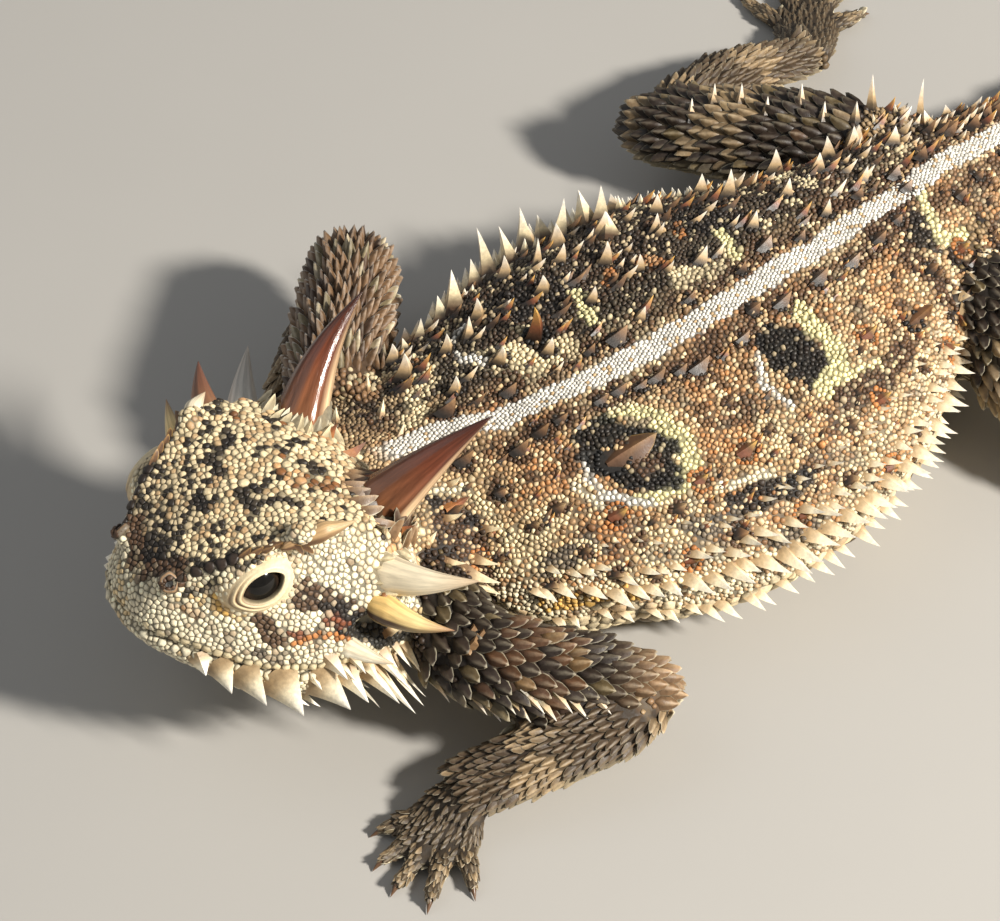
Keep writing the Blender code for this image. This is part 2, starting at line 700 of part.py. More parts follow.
# Rows of fringe spines: first and last place, count, angle above the side, longest, half width.
FRINGE_ROWS = [
    (3.0, 15.0, 19, 0.10, 3.5, 0.85),
    (4.0, 13.6, 14, -0.42, 2.3, 0.7),
    (15.8, 29.5, 17, 0.15, 1.9, 0.6),
]
# Rows of enlarged scales on the back: angle above the side, first and last place, spacing, length.
BACK_ROWS = [
    (1.28, 1.6, 19.0, 1.15, 1.8),
    (0.90, 2.2, 17.0, 1.25, 1.7),
    (0.52, 2.9, 17.0, 1.25, 1.8),
]
SCUTE_ROWS = 4


def grow_fringe(wardrobe, tube, chance):
    """Two rows of long pale spines along each flank and one along each side of the tail."""
    for side in (1, -1):
        for first, last, count, height, longest, width in FRINGE_ROWS:
            for k in range(count):
                share = k / (count - 1)
                place = first + (last - first) * share
                node = body_node(place)
                if not node:
                    continue
                on_tail = node == "tail"
                bulge = 0.6 + 0.4 * math.sin(math.pi * min(1.25 * share, 1))
                taper = 1 - 0.6 * share if on_tail else bulge
                out = tube.normal(place, height if side == 1 else math.pi - height)
                root = tube.point(place, height if side == 1 else math.pi - height)
                _, along, _, up, _ = tube.frame(place)
                back = (0.25 if side == 1 else 0.55) + chance.uniform(-0.12, 0.12)
                lift = (0.0 if side == 1 else 0.25) + chance.uniform(-0.1, 0.1)
                size = taper * chance.uniform(0.88, 1.12)
                wardrobe.add(node, root, out + along * back + up * lift, longest * size, width * size**0.5,
                             thickness=width * 0.7 * size**0.5, flat_to=up)


def grow_back_spines(wardrobe, tube, chance):
    """The enlarged keeled cones of the back, in staggered rows beside the midline."""
    for side in (1, -1):
        for row, (angle, first, last, step, longest) in enumerate(BACK_ROWS):
            place = first
            while place < last:
                at = place + chance.uniform(-0.2, 0.2)
                turn = angle + chance.uniform(-0.06, 0.06)
                turn = turn if side == 1 else math.pi - turn
                length = longest * chance.uniform(0.8, 1.15) * (1.0 if at < 14 else 0.75)
                place += step
                node = body_node(at)
                if not node:
                    continue
                out = tube.normal(at, turn)
                along = tube.frame(at)[1]
                wardrobe.add(node, tube.point(at, turn), out + along * 0.55, length,
                             length * 0.42, thickness=length * 0.38, flat_to=out, rings=1, sink=0.45)


def grow_limb_scutes(wardrobe, tubes, chance):
    """Overlapping keeled scales with raised points, largest along the leading edge of each limb."""
    sizes = {"upper_arm": 2.4, "forearm": 1.8, "thigh": 2.4, "shank": 1.9}
    for name in LIMB_ROWS:
        size = sizes[name.rsplit("_", 1)[0]]
        tube = tubes[name]
        last = len(tube.rows) - 1
        for k in range(SCUTE_ROWS):
            place = last * (0.22 + 0.62 * k / (SCUTE_ROWS - 1))
            for angle in (0.1, 0.95, 1.8, 2.65):
                turn = angle + (0.4 if k % 2 else 0.0) + chance.uniform(-0.08, 0.08)
                if turn > 3.4:
                    continue
                out = tube.normal(place, turn)
                along = tube.frame(place)[1]
                length = size * chance.uniform(0.85, 1.15)
                wardrobe.add(name, tube.point(place, turn) - out * 0.1, along + out * 0.5, length,
                             length * 0.36, thickness=0.3, flat_to=out, rings=1)


def grow_head_spines(wardrobe, chance):
    """The shields along the lower jaw, the throat fringe, and small spines of the head and neck."""
    turn = HEAD.to_3x3()
    for side in (1, -1):
        for t, size in CHIN_SHIELDS:
            row = curve_through(HEAD_ROWS, row_position(t))
            root = on_head((row[4] * 0.95, t, mouth_line(t) - 0.42 * row[5]), side)
            direction = turn @ Vector((0.9 * side, 0.65, -0.42))
            wardrobe.add("lower_jaw", root, direction, size, 0.4 * size + 0.28,
                         thickness=0.4, flat_to=turn @ Vector((0, 0, 1)), sink=0.7)
        for k in range(THROAT_SPINES):
            root = on_head((8.8 - 0.35 * k, 11.0 + 1.8 * k, -3.9 - 0.12 * k), side)
            direction = turn @ Vector((0.85 * side, 0.75, -0.5))
            wardrobe.add("lower_jaw", root, direction, 2.0 + 0.15 * k, 0.55,
                         thickness=0.4, flat_to=turn @ Vector((0, 0, 1)), sink=0.8)
        for x, t, h, size in HEAD_SPINES:
            root = on_head((x - 0.3, t, h), side)
            direction = turn @ Vector((0.5 * side, 0.8, 0.5))
            wardrobe.add("head", root, direction, size, size * 0.36, sink=0.7)


def grow_neck_spines(wardrobe, tubes, chance):
    """Clusters of spines on each side of the neck, ahead of the shoulder."""
    neck = tubes["neck"]
    for side in (1, -1):
        for place, angle, length in NECK_SPINES:
            turn = angle if side == 1 else math.pi - angle
            out = neck.normal(place, turn)
            along = neck.frame(place)[1]
            size = length * chance.uniform(0.9, 1.1)
            wardrobe.add("neck", neck.point(place, turn), out + along * 0.5, size, size * 0.3,
                         flat_to=out, sink=0.7)


def paint(nodes):
    for name, obj in nodes.items():
        if name.startswith("horn_occipital"):
            kind = "horn"
        elif name.startswith("horn"):
            kind = "horn_pale"
        elif name.startswith("eye"):
            kind = "eye"
        elif name in ("head", "lower_jaw"):
            kind = "skin_head"
        elif name in ("torso", "pelvis", "neck", "tail"):
            kind = "skin_back"
        else:
            kind = "skin_limb"
        obj.data.materials.clear()
        obj.data.materials.append(material(name, kind))
        obj.data.shade_smooth()
        obj.data.set_sharp_from_angle(angle=math.radians(35))


def stand_at_origin(nodes):
    """Parents every node to an empty that puts the middle of the footprint at the origin."""
    points = [v.co for obj in nodes.values() for v in obj.data.vertices]
    low = [min(p[k] for p in points) for k in range(3)]
    high = [max(p[k] for p in points) for k in range(3)]
    stand = bpy.data.objects.new("stand", None)
    stand.location = (-(low[0] + high[0]) / 2, -(low[1] + high[1]) / 2, -low[2])
    bpy.context.scene.collection.objects.link(stand)
    for obj in nodes.values():
        obj.parent = stand


def main():
    clear_scene()
    chance = random.Random(SEED)
    tubes = {"body": Tube(BODY_ROWS, BODY_STEPS, TRUNK_SIDES, squareness=0.8), "neck": Tube(NECK_ROWS, 2, 20)}
    nodes = build_body(tubes["body"])
    nodes.update(build_head())
    nodes["neck"] = tubes["neck"].solid("neck")
    for name in ("torso", "head", "lower_jaw"):
        apply_boolean(nodes["neck"], "DIFFERENCE", [grown(nodes[name], GAP)])
    for name, horn in nodes.items():
        if name.startswith("horn"):
            apply_boolean(horn, "DIFFERENCE", [grown(nodes["neck"], GAP)])
    build_limbs(nodes, tubes)
    build_paws(nodes, tubes)
    wardrobe = Wardrobe(nodes)
    grow_fringe(wardrobe, tubes["body"], chance)
    grow_back_spines(wardrobe, tubes["body"], chance)
    grow_limb_scutes(wardrobe, tubes, chance)
    grow_head_spines(wardrobe, chance)
    grow_neck_spines(wardrobe, tubes, chance)
    wardrobe.join()
    stand_at_origin(nodes)
    paint(nodes)


main()
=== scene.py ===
"""A horned lizard at life size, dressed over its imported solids.

Shapes are worked out in millimetres in the animal's own frame: it faces -Y, its
left side is +X and the floor is z = 0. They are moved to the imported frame, in
metres, when a mesh is made.
"""

import math

import bmesh
import bpy
import numpy as np
from bpy.props import FloatProperty, FloatVectorProperty, IntProperty, PointerProperty
from mathutils import Matrix, Vector
from mathutils.bvhtree import BVHTree
from mathutils.kdtree import KDTree


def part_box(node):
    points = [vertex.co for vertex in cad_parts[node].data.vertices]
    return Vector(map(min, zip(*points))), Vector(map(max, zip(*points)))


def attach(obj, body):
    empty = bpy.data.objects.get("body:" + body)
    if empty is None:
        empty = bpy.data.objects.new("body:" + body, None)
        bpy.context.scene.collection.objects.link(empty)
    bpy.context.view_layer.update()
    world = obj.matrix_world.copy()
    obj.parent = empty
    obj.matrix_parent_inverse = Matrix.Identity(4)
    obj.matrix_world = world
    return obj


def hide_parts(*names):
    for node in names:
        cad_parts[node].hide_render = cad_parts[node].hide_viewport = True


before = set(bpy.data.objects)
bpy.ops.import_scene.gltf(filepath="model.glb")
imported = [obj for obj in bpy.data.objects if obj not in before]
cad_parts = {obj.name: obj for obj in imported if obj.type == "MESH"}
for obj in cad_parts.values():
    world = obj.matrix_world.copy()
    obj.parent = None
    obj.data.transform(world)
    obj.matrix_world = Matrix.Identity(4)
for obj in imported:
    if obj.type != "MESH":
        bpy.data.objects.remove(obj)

bl_info = {
    "name": "Horned lizard",
    "version": (1, 0, 0),
    "blender": (4, 5, 0),
    "location": "3D View > Sidebar > Lizard",
    "description": "Dresses a life-size horned lizard in skin, scales, spines and horns",
    "category": "Object",
}

MM = 0.001
FLOOR = 0.02
UP = np.array((0.0, 0.0, 1.0))
BAKE_MAP = "OFBake"
BAKE_PATCH = 0.003

# Rows along the body from the neck to the tail's tip: x, y, z of the side edge, half width, rise and drop.
BODY_ROWS = [
    (-4.6, -19.0, 8.6, 8.0, 4.6, 4.4),
    (-3.9, -15.0, 7.8, 11.4, 5.7, 7.0),
    (-2.5, -9.0, 7.0, 14.8, 7.3, 7.8),
    (-1.6, -2.0, 6.6, 17.2, 8.2, 7.6),
    (-1.3, 5.0, 6.5, 17.7, 8.5, 7.6),
    (-1.6, 12.0, 6.5, 16.2, 8.4, 7.6),
    (-2.5, 19.0, 6.5, 12.8, 7.9, 7.4),
    (-3.5, 26.0, 6.3, 9.4, 7.1, 6.9),
    (-4.7, 32.0, 5.8, 7.8, 6.3, 6.2),
    (-5.9, 37.5, 5.0, 6.3, 5.3, 5.2),
    (-6.9, 41.5, 4.3, 5.2, 4.2, 4.4),
    (-8.4, 47.0, 3.3, 4.1, 3.1, 3.5),
    (-10.0, 54.0, 2.5, 3.0, 2.2, 2.7),
    (-10.9, 61.0, 1.8, 2.1, 1.6, 2.0),
    (-10.9, 68.0, 1.3, 1.4, 1.1, 1.4),
    (-10.1, 75.0, 0.9, 0.8, 0.7, 1.0),
    (-9.3, 78.5, 0.7, 0.35, 0.4, 0.5),
]
TAIL_START = 9.6
MIDDLE_OF_BACK = 5.0
NECK_ROWS = [
    (-2.9, -28.5, 9.6, 6.5, 4.4, 3.6),
    (-3.2, -25.0, 9.4, 7.6, 4.6, 4.4),
    (-3.6, -21.5, 9.0, 8.6, 4.7, 5.0),
    (-3.8, -18.0, 8.4, 9.4, 5.0, 5.6),
    (-3.6, -14.0, 8.0, 10.0, 5.0, 6.0),
]
FOLDS_AT = (-3.4, -24.0, 9.0)
# The pale stripe's line along the back, seen from above: x, y.
STRIPE = [
    (-4.3, -19.5), (-3.9, -15.7), (-1.8, -11.3), (-0.8, -6.5), (0.0, 0.0), (0.0, 7.3), (-0.7, 15.3),
    (-2.5, 26.2), (-5.3, 38.5), (-8.0, 47.0), (-10.0, 56.0),
]

# The head has its own frame: x to the left, t back from the snout tip, h up from the mouth line.
SNOUT_TIP = np.array((-3.4, -43.0, 13.6))
HEAD_YAW = math.radians(-2.5)
HEAD_PITCH = math.radians(17.0)
HEAD_ROLL = math.radians(2.5)
# Rows along the head: t, crown height, brow half width, brow height, lip half width, chin depth.
HEAD_ROWS = [
    (0.9, 1.6, 0.9, 1.2, 1.4, 0.8),
    (1.4, 3.2, 1.8, 2.7, 2.9, 1.4),
    (2.3, 4.8, 2.8, 4.3, 4.2, 2.0),
    (3.9, 6.5, 4.2, 6.0, 5.8, 2.7),
    (6.0, 8.0, 5.5, 7.6, 7.6, 3.4),
    (8.5, 9.3, 6.5, 9.0, 9.2, 4.1),
    (11.0, 10.0, 7.3, 9.8, 10.3, 4.6),
    (13.5, 10.2, 8.0, 9.4, 10.8, 4.8),
    (16.0, 9.8, 8.8, 7.9, 10.6, 4.8),
    (18.2, 8.9, 8.2, 6.5, 9.5, 4.6),
    (20.0, 7.2, 6.6, 5.2, 7.7, 4.1),
    (21.2, 5.2, 4.4, 3.8, 5.3, 3.3),
]
MOUTH_DIP = 0.9
MOUTH_DIP_AT = 8.0
MOUTH_DIP_REACH = 4.5
MOUTH_CORNER = 15.0
EYE_AT = (5.3, 7.25, 5.3)
EYE_RADIUS = 2.2
GAZE = (0.93, -0.30, 0.22)
LID_TILT = math.radians(30)
LID_MOUND = (3.35, 2.9, 2.7)
LID_INNER = (1.36, 0.95)
LID_OUTER = (3.15, 2.30)
NOSTRIL_AT = (2.9, 2.1, 4.2)
NOSTRIL_FACING = (0.5, -0.3, 0.35)
EAR_AT = (10.9, 14.4, 2.3)
EAR_SIZE = (1.5, 1.05)
# Hollows of each side of the head: middle, depth and squared reach.
HEAD_HOLLOWS = (((8.6, 11.6, 5.2), 0.35, 3.2), ((4.9, 3.6, 3.0), 0.22, 2.2))
SOCKET_REACH = (1.62, 1.2)
SOCKET_DEPTH = 2.0
BODY_SINK = 0.16
PAW_SINK = 0.08

# Horns in the head's frame: root, tip, root radius, how far the middle bows back, and the finish.
HORNS = {
    "horn_occipital_left": ((5.0, 17.4, 8.2), (7.9, 22.9, 16.4), 1.85, 0.7, "mahogany"),
    "horn_occipital_right": ((-5.0, 17.4, 8.2), (-7.9, 22.9, 16.4), 1.85, 0.7, "mahogany"),
    "horn_temporal_upper_left": ((9.0, 15.7, 5.6), (14.6, 19.1, 8.1), 1.35, 0.5, "cream"),
    "horn_temporal_upper_right": ((-9.0, 15.7, 5.6), (-14.6, 19.3, 8.1), 1.35, 0.15, "ash"),
    "horn_temporal_lower_left": ((10.6, 14.9, 4.0), (14.7, 17.8, 4.3), 1.0, 0.4, "straw"),
    "horn_temporal_lower_right": ((-9.9, 13.4, 5.8), (-16.2, 16.4, 6.4), 1.25, 0.15, "russet"),
    "horn_temporal_small_left": ((10.1, 12.8, 0.9), (12.9, 14.8, 0.9), 0.75, 0.1, "cream"),
    "horn_temporal_small_right": ((-11.0, 12.2, 3.2), (-16.2, 14.2, 3.6), 0.85, 0.1, "straw"),
    "horn_brow_left": ((7.2, 8.9, 9.6), (8.2, 12.7, 10.4), 0.95, 0.2, "brow"),
    "horn_brow_right": ((-6.9, 9.0, 9.4), (-8.5, 11.3, 10.1), 0.9, 0.1, "cream"),
}
# Horns with a root radius past the first have plates round the foot, and past the second two rings of them.
BIG_HORN = 1.3
LONGEST_HORN = 1.5
# Horns that start above this height stand on the brow.
BROW_LEVEL = 9.0
# Each horn finish: colour at the root, in the middle, at the tip, and along the rear edge that faces the key
# light: a paler edge, partly a pale rim and partly painted highlight, on mahogany, cream, ash and russet, and
# a darker one on straw and brow.
HORN_FINISHES = {
    "mahogany": ((0.21, 0.085, 0.036), (0.125, 0.034, 0.015), (0.035, 0.011, 0.007), (0.66, 0.47, 0.28)),
    "cream": ((0.74, 0.64, 0.46), (0.72, 0.63, 0.46), (0.52, 0.38, 0.24), (0.84, 0.78, 0.62)),
    "ash": ((0.56, 0.53, 0.47), (0.48, 0.45, 0.40), (0.42, 0.37, 0.31), (0.70, 0.68, 0.62)),
    "straw": ((0.68, 0.46, 0.17), (0.74, 0.56, 0.26), (0.30, 0.15, 0.08), (0.045, 0.018, 0.012)),
    "russet": ((0.30, 0.15, 0.07), (0.20, 0.08, 0.04), (0.14, 0.05, 0.03), (0.82, 0.76, 0.60)),
    "brow": ((0.40, 0.25, 0.12), (0.50, 0.33, 0.16), (0.50, 0.36, 0.20), (0.13, 0.065, 0.03)),
}

# Limb rows: x, y, z, half width, half height.
LIMB_ROWS = {
    "upper_arm_left": [
        (3.5, -21.5, 7.8, 3.2, 3.4), (8.0, -22.8, 7.4, 3.5, 3.5), (12.2, -21.0, 6.6, 3.5, 3.4),
        (16.2, -16.8, 5.6, 3.2, 3.1), (18.9, -13.6, 4.9, 2.2, 2.3), (19.8, -12.6, 4.7, 0.9, 1.0),
    ],
    "forearm_left": [
        (18.6, -13.8, 4.3, 2.2, 2.2), (18.9, -16.5, 4.2, 2.7, 2.6), (18.2, -21.0, 3.7, 2.7, 2.5),
        (17.0, -25.0, 2.9, 2.6, 2.0), (16.2, -28.0, 2.3, 2.5, 1.6),
    ],
    "upper_arm_right": [
        (-12.0, -18.0, 8.8, 3.8, 3.8), (-16.6, -14.8, 8.8, 3.5, 3.5), (-21.0, -11.0, 8.5, 3.3, 3.2),
        (-24.8, -7.8, 8.0, 3.0, 3.0), (-26.4, -6.4, 7.7, 2.1, 2.1), (-27.1, -5.8, 7.5, 0.9, 1.0),
    ],
    "forearm_right": [
        (-25.2, -7.0, 6.6, 2.3, 2.3), (-24.0, -9.8, 5.8, 2.6, 2.5), (-21.6, -14.2, 4.5, 2.4, 2.3),
        (-18.8, -18.6, 3.1, 2.0, 1.8), (-16.9, -21.6, 2.2, 1.8, 1.4),
    ],
    "thigh_left": [
        (-1.0, 29.5, 6.6, 3.9, 3.9), (4.5, 27.9, 6.8, 4.1, 4.1), (10.5, 26.3, 6.5, 3.8, 3.9),
        (16.0, 25.6, 5.6, 3.2, 3.3), (19.6, 25.7, 5.0, 2.8, 2.8), (21.5, 25.8, 4.7, 1.8, 1.9),
        (22.3, 25.9, 4.6, 0.8, 0.9),
    ],
    "shank_left": [
        (19.8, 26.2, 4.6, 2.2, 2.3), (20.7, 29.8, 4.4, 2.7, 2.6), (21.1, 34.6, 3.7, 2.4, 2.3),
        (20.7, 39.0, 2.8, 1.9, 1.8), (20.2, 42.0, 2.2, 1.7, 1.4),
    ],
    "thigh_right": [
        (-8.0, 33.5, 6.6, 4.0, 4.0), (-13.0, 30.2, 6.9, 4.1, 4.1), (-18.0, 26.6, 6.8, 3.8, 3.8),
        (-22.4, 23.4, 6.2, 3.2, 3.2), (-25.0, 21.5, 5.7, 2.8, 2.8), (-26.6, 20.4, 5.4, 1.8, 1.9),
        (-27.2, 20.0, 5.3, 0.8, 0.9),
    ],
    "shank_right": [
        (-25.0, 21.7, 5.0, 2.2, 2.3), (-26.4, 25.2, 4.8, 2.7, 2.6), (-27.6, 30.2, 3.9, 2.4, 2.3),
        (-27.8, 34.8, 2.9, 1.9, 1.8), (-27.6, 37.9, 2.2, 1.7, 1.4),
    ],
}
# Hands and feet: wrist, heading in degrees from +X, palm length, half width, digits from the inner one out.
PAWS = {
    "hand_left": ((16.5, -28.0, 1.9), -75.0, 3.8, 2.8, (1.9, 3.0, 3.9, 4.0, 2.6)),
    "hand_right": ((-16.7, -22.0, 1.9), -62.0, 3.8, 2.8, (1.9, 3.0, 3.9, 4.0, 2.6)),
    "foot_left": ((20.2, 42.4, 1.9), 38.0, 6.4, 2.5, (2.6, 4.2, 5.6, 7.2, 4.0)),
    "foot_right": ((-27.7, 38.3, 1.9), 140.0, 6.4, 2.5, (2.6, 4.2, 5.6, 7.2, 4.0)),
}
DIGIT_FANS = {"hand": (34.0, 12.0, -4.0, -24.0, -48.0), "foot": (50.0, 25.0, 5.0, -14.0, -42.0)}
DIGIT_RADIUS = 0.75
DIGIT_HEIGHT = 0.6

# The photograph's frame, and its camera: the point it was fitted on, that point's pixel, and its direction.
PHOTO_SIZE = (1000, 921)
FIT_POINT = np.array((0.0, 0.0, 15.0))
FIT_PIXEL = (640.0, 350.0)
CAMERA_DISTANCE = 350.0
PIXELS_PER_MM = 14.1
CAMERA_TURN = math.radians(52.0)
CAMERA_TILT = math.radians(45.3)
SENSOR = 36.0

COLOURS = {name: np.array(tone) for name, tone in {
    "tan": (0.36, 0.205, 0.095),
    "sand": (0.58, 0.40, 0.21),
    "cream": (0.82, 0.68, 0.42),
    "ivory": (0.88, 0.79, 0.57),
    "white": (0.86, 0.82, 0.73),
    "orange": (0.48, 0.19, 0.055),
    "gold": (0.70, 0.42, 0.11),
    "rust": (0.22, 0.070, 0.030),
    "brown": (0.105, 0.054, 0.026),
    "dark": (0.022, 0.015, 0.010),
    "grey": (0.17, 0.135, 0.095),
    "yellow": (0.88, 0.79, 0.42),
    "olive": (0.17, 0.13, 0.050),
    # A dull brown, darker than the limbs' own colour: partly painted shade.
    "khaki_and_shade": (0.120, 0.083, 0.043),
    "umber": (0.030, 0.018, 0.011),
    "black": (0.007, 0.006, 0.005),
}.items()}

RIDGE_COLOUR = np.array((0.20, 0.105, 0.050))

# Markings of the back and neck as strokes over what the camera sees: pixels, half width in mm, colour.
BACK_STROKES = {
    "crescent_fore": (
        ((604, 420), (629, 411), (653, 413), (676, 434), (685, 458), (676, 484), (656, 497), (634, 502)),
        0.50, "yellow"),
    "crescent_fore_broad": (((662, 422), (682, 440), (690, 462), (680, 484)), 0.85, "yellow"),
    "crescent_fore_edge": (((583, 455), (587, 478), (604, 494), (628, 502), (650, 503)), 0.36, "white"),
    "spot_fore": (((610, 448), (630, 456), (650, 463)), 2.30, "black"),
    "spot_fore_middle": (((622, 452), (646, 462)), 1.05, "brown"),
    # The neck folds' dark lines are painted shade in the folds.
    "neck_fold_shade_1": (((402, 505), (410, 528), (412, 552)), 0.20, "umber"),
    "neck_fold_shade_2": (((424, 492), (437, 520), (438, 552)), 0.20, "umber"),
    "neck_fold_shade_3": (((448, 498), (461, 528), (461, 560)), 0.20, "umber"),
    "neck_fold_shade_4": (((476, 520), (486, 545), (484, 575)), 0.18, "umber"),
    "spot_middle": (((782, 345), (800, 358), (822, 372)), 1.9, "black"),
    "spot_rear": (((900, 208), (912, 226), (920, 238)), 1.5, "dark"),
    "spot_fore_far": (((512, 305), (548, 296)), 2.3, "dark"),
    "spot_middle_far": (((690, 215), (712, 222)), 2.0, "dark"),
    "crescent_middle": (((798, 310), (812, 325), (835, 345), (840, 368), (823, 390)), 0.80, "yellow"),
    "crescent_middle_tail": (((834, 384), (850, 377), (890, 360)), 0.42, "yellow"),
    "crescent_middle_edge": (((757, 355), (763, 385), (790, 405)), 0.28, "white"),
    "crescent_rear": (((918, 187), (930, 215), (940, 242), (963, 232)), 0.50, "yellow"),
    "mottle_rear": (((905, 250), (928, 275), (950, 300)), 0.9, "brown"),
    "mottle_shoulder": (((735, 505), (775, 492), (805, 478)), 0.9, "dark"),
    "mottle_flank": (((548, 562), (590, 548)), 0.9, "grey"),
    "mottle_side": (((685, 520), (700, 528), (735, 520)), 0.7, "grey"),
    "mottle_hip": (((845, 395), (880, 380), (905, 350)), 1.0, "brown"),
    "mottle_loin": (((868, 250), (900, 200)), 1.1, "brown"),
    "mottle_low": (((780, 540), (800, 535), (815, 520)), 0.9, "grey"),
    # A black line of painted shade along a crease of the skin.
    "crease_shade": (((764, 495), (800, 478), (830, 466)), 0.14, "black"),
    "neck_dark": (((450, 522), (470, 545), (480, 580)), 1.2, "brown"),
    "neck_shadow": (((432, 500), (452, 512), (470, 520)), 0.55, "dark"),
    "crescent_fore_far": (((573, 293), (583, 303), (590, 320)), 0.55, "yellow"),
    "crescent_middle_far": (((719, 232), (730, 248), (736, 258)), 0.4, "yellow"),
    "neck_line": (((470, 494), (488, 512), (502, 530), (514, 548)), 0.42, "cream"),
    "neck_patch_far": (((425, 372), (417, 395), (411, 425)), 0.9, "cream"),
    "nape_line": (((432, 490), (468, 487)), 0.3, "ivory"),
    "shoulder_gold": (((548, 602), (590, 600), (636, 592)), 0.8, "gold"),
    "flank_line": (((720, 488), (745, 480), (773, 472)), 0.32, "ivory"),
    "rump_line": (((575, 488), (596, 502), (618, 516)), 0.25, "ivory"),
    "granite": (((560, 345), (540, 362), (515, 352)), 0.9, "cream"),
}
# Markings of the face, seen on its left side and mirrored to its right.
FACE_STROKES = {
    "eye_stripe": (((298, 592), (318, 600), (338, 608), (352, 616)), 0.95, "brown"),
    "eye_stripe_core": (((322, 606), (338, 610), (356, 618)), 0.55, "dark"),
    "stripe_end": (((345, 632), (352, 622), (362, 616)), 0.5, "dark"),
    # The black ear patch is a painted shadow of the horn above it and painted shade in the ear pit.
    "ear_shade": (((346, 630), (366, 634), (384, 636), (400, 634)), 1.0, "black"),
    "below_eye": (((262, 620), (270, 634), (276, 640)), 0.70, "brown"),
    "cheek": (((292, 634), (306, 638)), 0.40, "rust"),
    "cheek_rear": (((328, 620), (346, 624)), 0.42, "rust"),
    "cheek_gold": (((296, 644), (320, 634), (348, 638)), 0.26, "orange"),
    "cheek_grey": (((256, 652), (276, 662), (292, 672)), 0.30, "grey"),
    "lower_lip_rust": (((214, 664), (240, 676), (262, 684)), 0.35, "sand"),
    "lore": (((186, 610), (196, 618)), 0.35, "tan"),
    "lore_gold": (((214, 598), (226, 610)), 0.55, "gold"),
    "temple": (((330, 560), (352, 580)), 0.5, "ivory"),
    "brow_line": (((186, 594), (206, 586), (222, 580)), 0.30, "dark"),
    "crown_patch": (((196, 500), (208, 508)), 0.55, "dark"),
    "crown_patch_mid": (((238, 492), (252, 506)), 0.45, "dark"),
    "crown_line": (((262, 502), (284, 498), (300, 506)), 0.35, "dark"),
    # The dark snout top and the brown snout front are painted shade.
    "snout_top_shade": (((150, 540), (152, 556), (160, 566)), 0.7, "dark"),
    "snout_front_shade": (((138, 520), (136, 545), (134, 565)), 0.6, "brown"),
}
# Raised spines that the camera sees on the back: pixel of the root, length, width and kind.
BACK_SPINES = [
    (612, 462, 3.6, 1.9, "keel"),
    (463, 462, 1.9, 0.8, "tan"), (519, 452, 1.9, 0.8, "tan"), (540, 433, 1.7, 0.75, "tan"),
    (560, 420, 1.3, 0.6, "tan"), (600, 402, 1.4, 0.6, "tan"), (618, 392, 1.5, 0.7, "tan"),
    (640, 388, 1.3, 0.6, "tan"), (655, 380, 1.8, 0.75, "tan"), (680, 372, 1.3, 0.6, "tan"),
    (698, 370, 2.1, 0.85, "tan"), (742, 340, 1.4, 0.65, "tan"), (780, 305, 2.0, 0.8, "tan"),
    (818, 280, 1.9, 0.8, "tan"), (851, 264, 1.7, 0.75, "tan"), (878, 240, 1.5, 0.7, "tan"),
    (905, 190, 1.5, 0.7, "tan"), (557, 509, 1.5, 0.8, "rosette"), (616, 516, 1.6, 0.8, "orange"),
    (534, 526, 1.1, 0.7, "rosette"), (678, 509, 1.4, 0.75, "rosette"), (616, 575, 1.2, 0.65, "rosette"),
    (655, 575, 1.2, 0.65, "rosette"), (728, 404, 1.1, 0.6, "rosette"), (700, 481, 1.2, 0.65, "orange"),
    (744, 452, 1.9, 0.85, "orange"), (866, 336, 1.6, 0.75, "orange"), (912, 322, 2.2, 1.2, "keel"),
    (795, 440, 1.1, 0.6, "rosette"), (768, 430, 0.9, 0.55, "rosette"), (690, 560, 1.3, 0.6, "orange"),
    (640, 540, 1.2, 0.55, "rosette"), (585, 552, 1.1, 0.55, "rosette"), (500, 560, 1.0, 0.5, "rosette"),
    (850, 425, 1.4, 0.65, "rosette"), (880, 400, 1.5, 0.65, "orange"), (930, 270, 1.3, 0.65, "tan"),
    (960, 250, 1.3, 0.6, "orange"), (480, 560, 1.0, 0.5, "orange"), (452, 512, 1.6, 0.55, "tan"),
    (535, 335, 3.6, 1.2, "bronze"), (447, 352, 1.6, 0.7, "ivory"), (478, 318, 1.8, 0.75, "ivory"),
    (505, 278, 1.9, 0.75, "ivory"), (560, 262, 1.7, 0.7, "ivory"), (592, 300, 1.4, 0.65, "ivory"),
    (500, 360, 1.6, 0.75, "ivory"), (455, 392, 1.5, 0.7, "ivory"), (548, 352, 1.5, 0.7, "ivory"),
    (606, 262, 1.9, 0.8, "ivory"), (640, 270, 1.4, 0.65, "ivory"), (655, 232, 1.7, 0.7, "ivory"),
    (700, 262, 1.6, 0.75, "ivory"), (728, 196, 2.3, 0.85, "ivory"), (752, 226, 1.5, 0.7, "ivory"),
    (786, 196, 1.6, 0.75, "ivory"), (640, 318, 1.3, 0.6, "ivory"), (590, 352, 1.2, 0.6, "tan"),
    (690, 300, 1.2, 0.6, "tan"), (742, 272, 1.3, 0.6, "tan"), (800, 240, 1.3, 0.6, "tan"),
    (826, 214, 1.4, 0.6, "ivory"), (862, 180, 1.4, 0.6, "ivory"),
]
# Spine kinds: colour at the root, in the middle and at the tip.
SPINE_KINDS = {
    "bronze": ("dark", "rust", "gold"),
    "keel": ("dark", "rust", "gold"),
    "tan": ("dark", "brown", "tan"),
    "orange": ("rust", "brown", "gold"),
    "rosette": ("dark", "brown", "sand"),
    "ivory": ("dark", "sand", "white"),
    "fringe": ("sand", "ivory", "white"),
    "fringe_far": ("brown", "cream", "white"),
    "jaw": ("sand", "ivory", "white"),
    "neck": ("tan", "cream", "ivory"),
    "skull": ("orange", "rust", "brown"),
    "arm": ("olive", "sand", "white"),
}
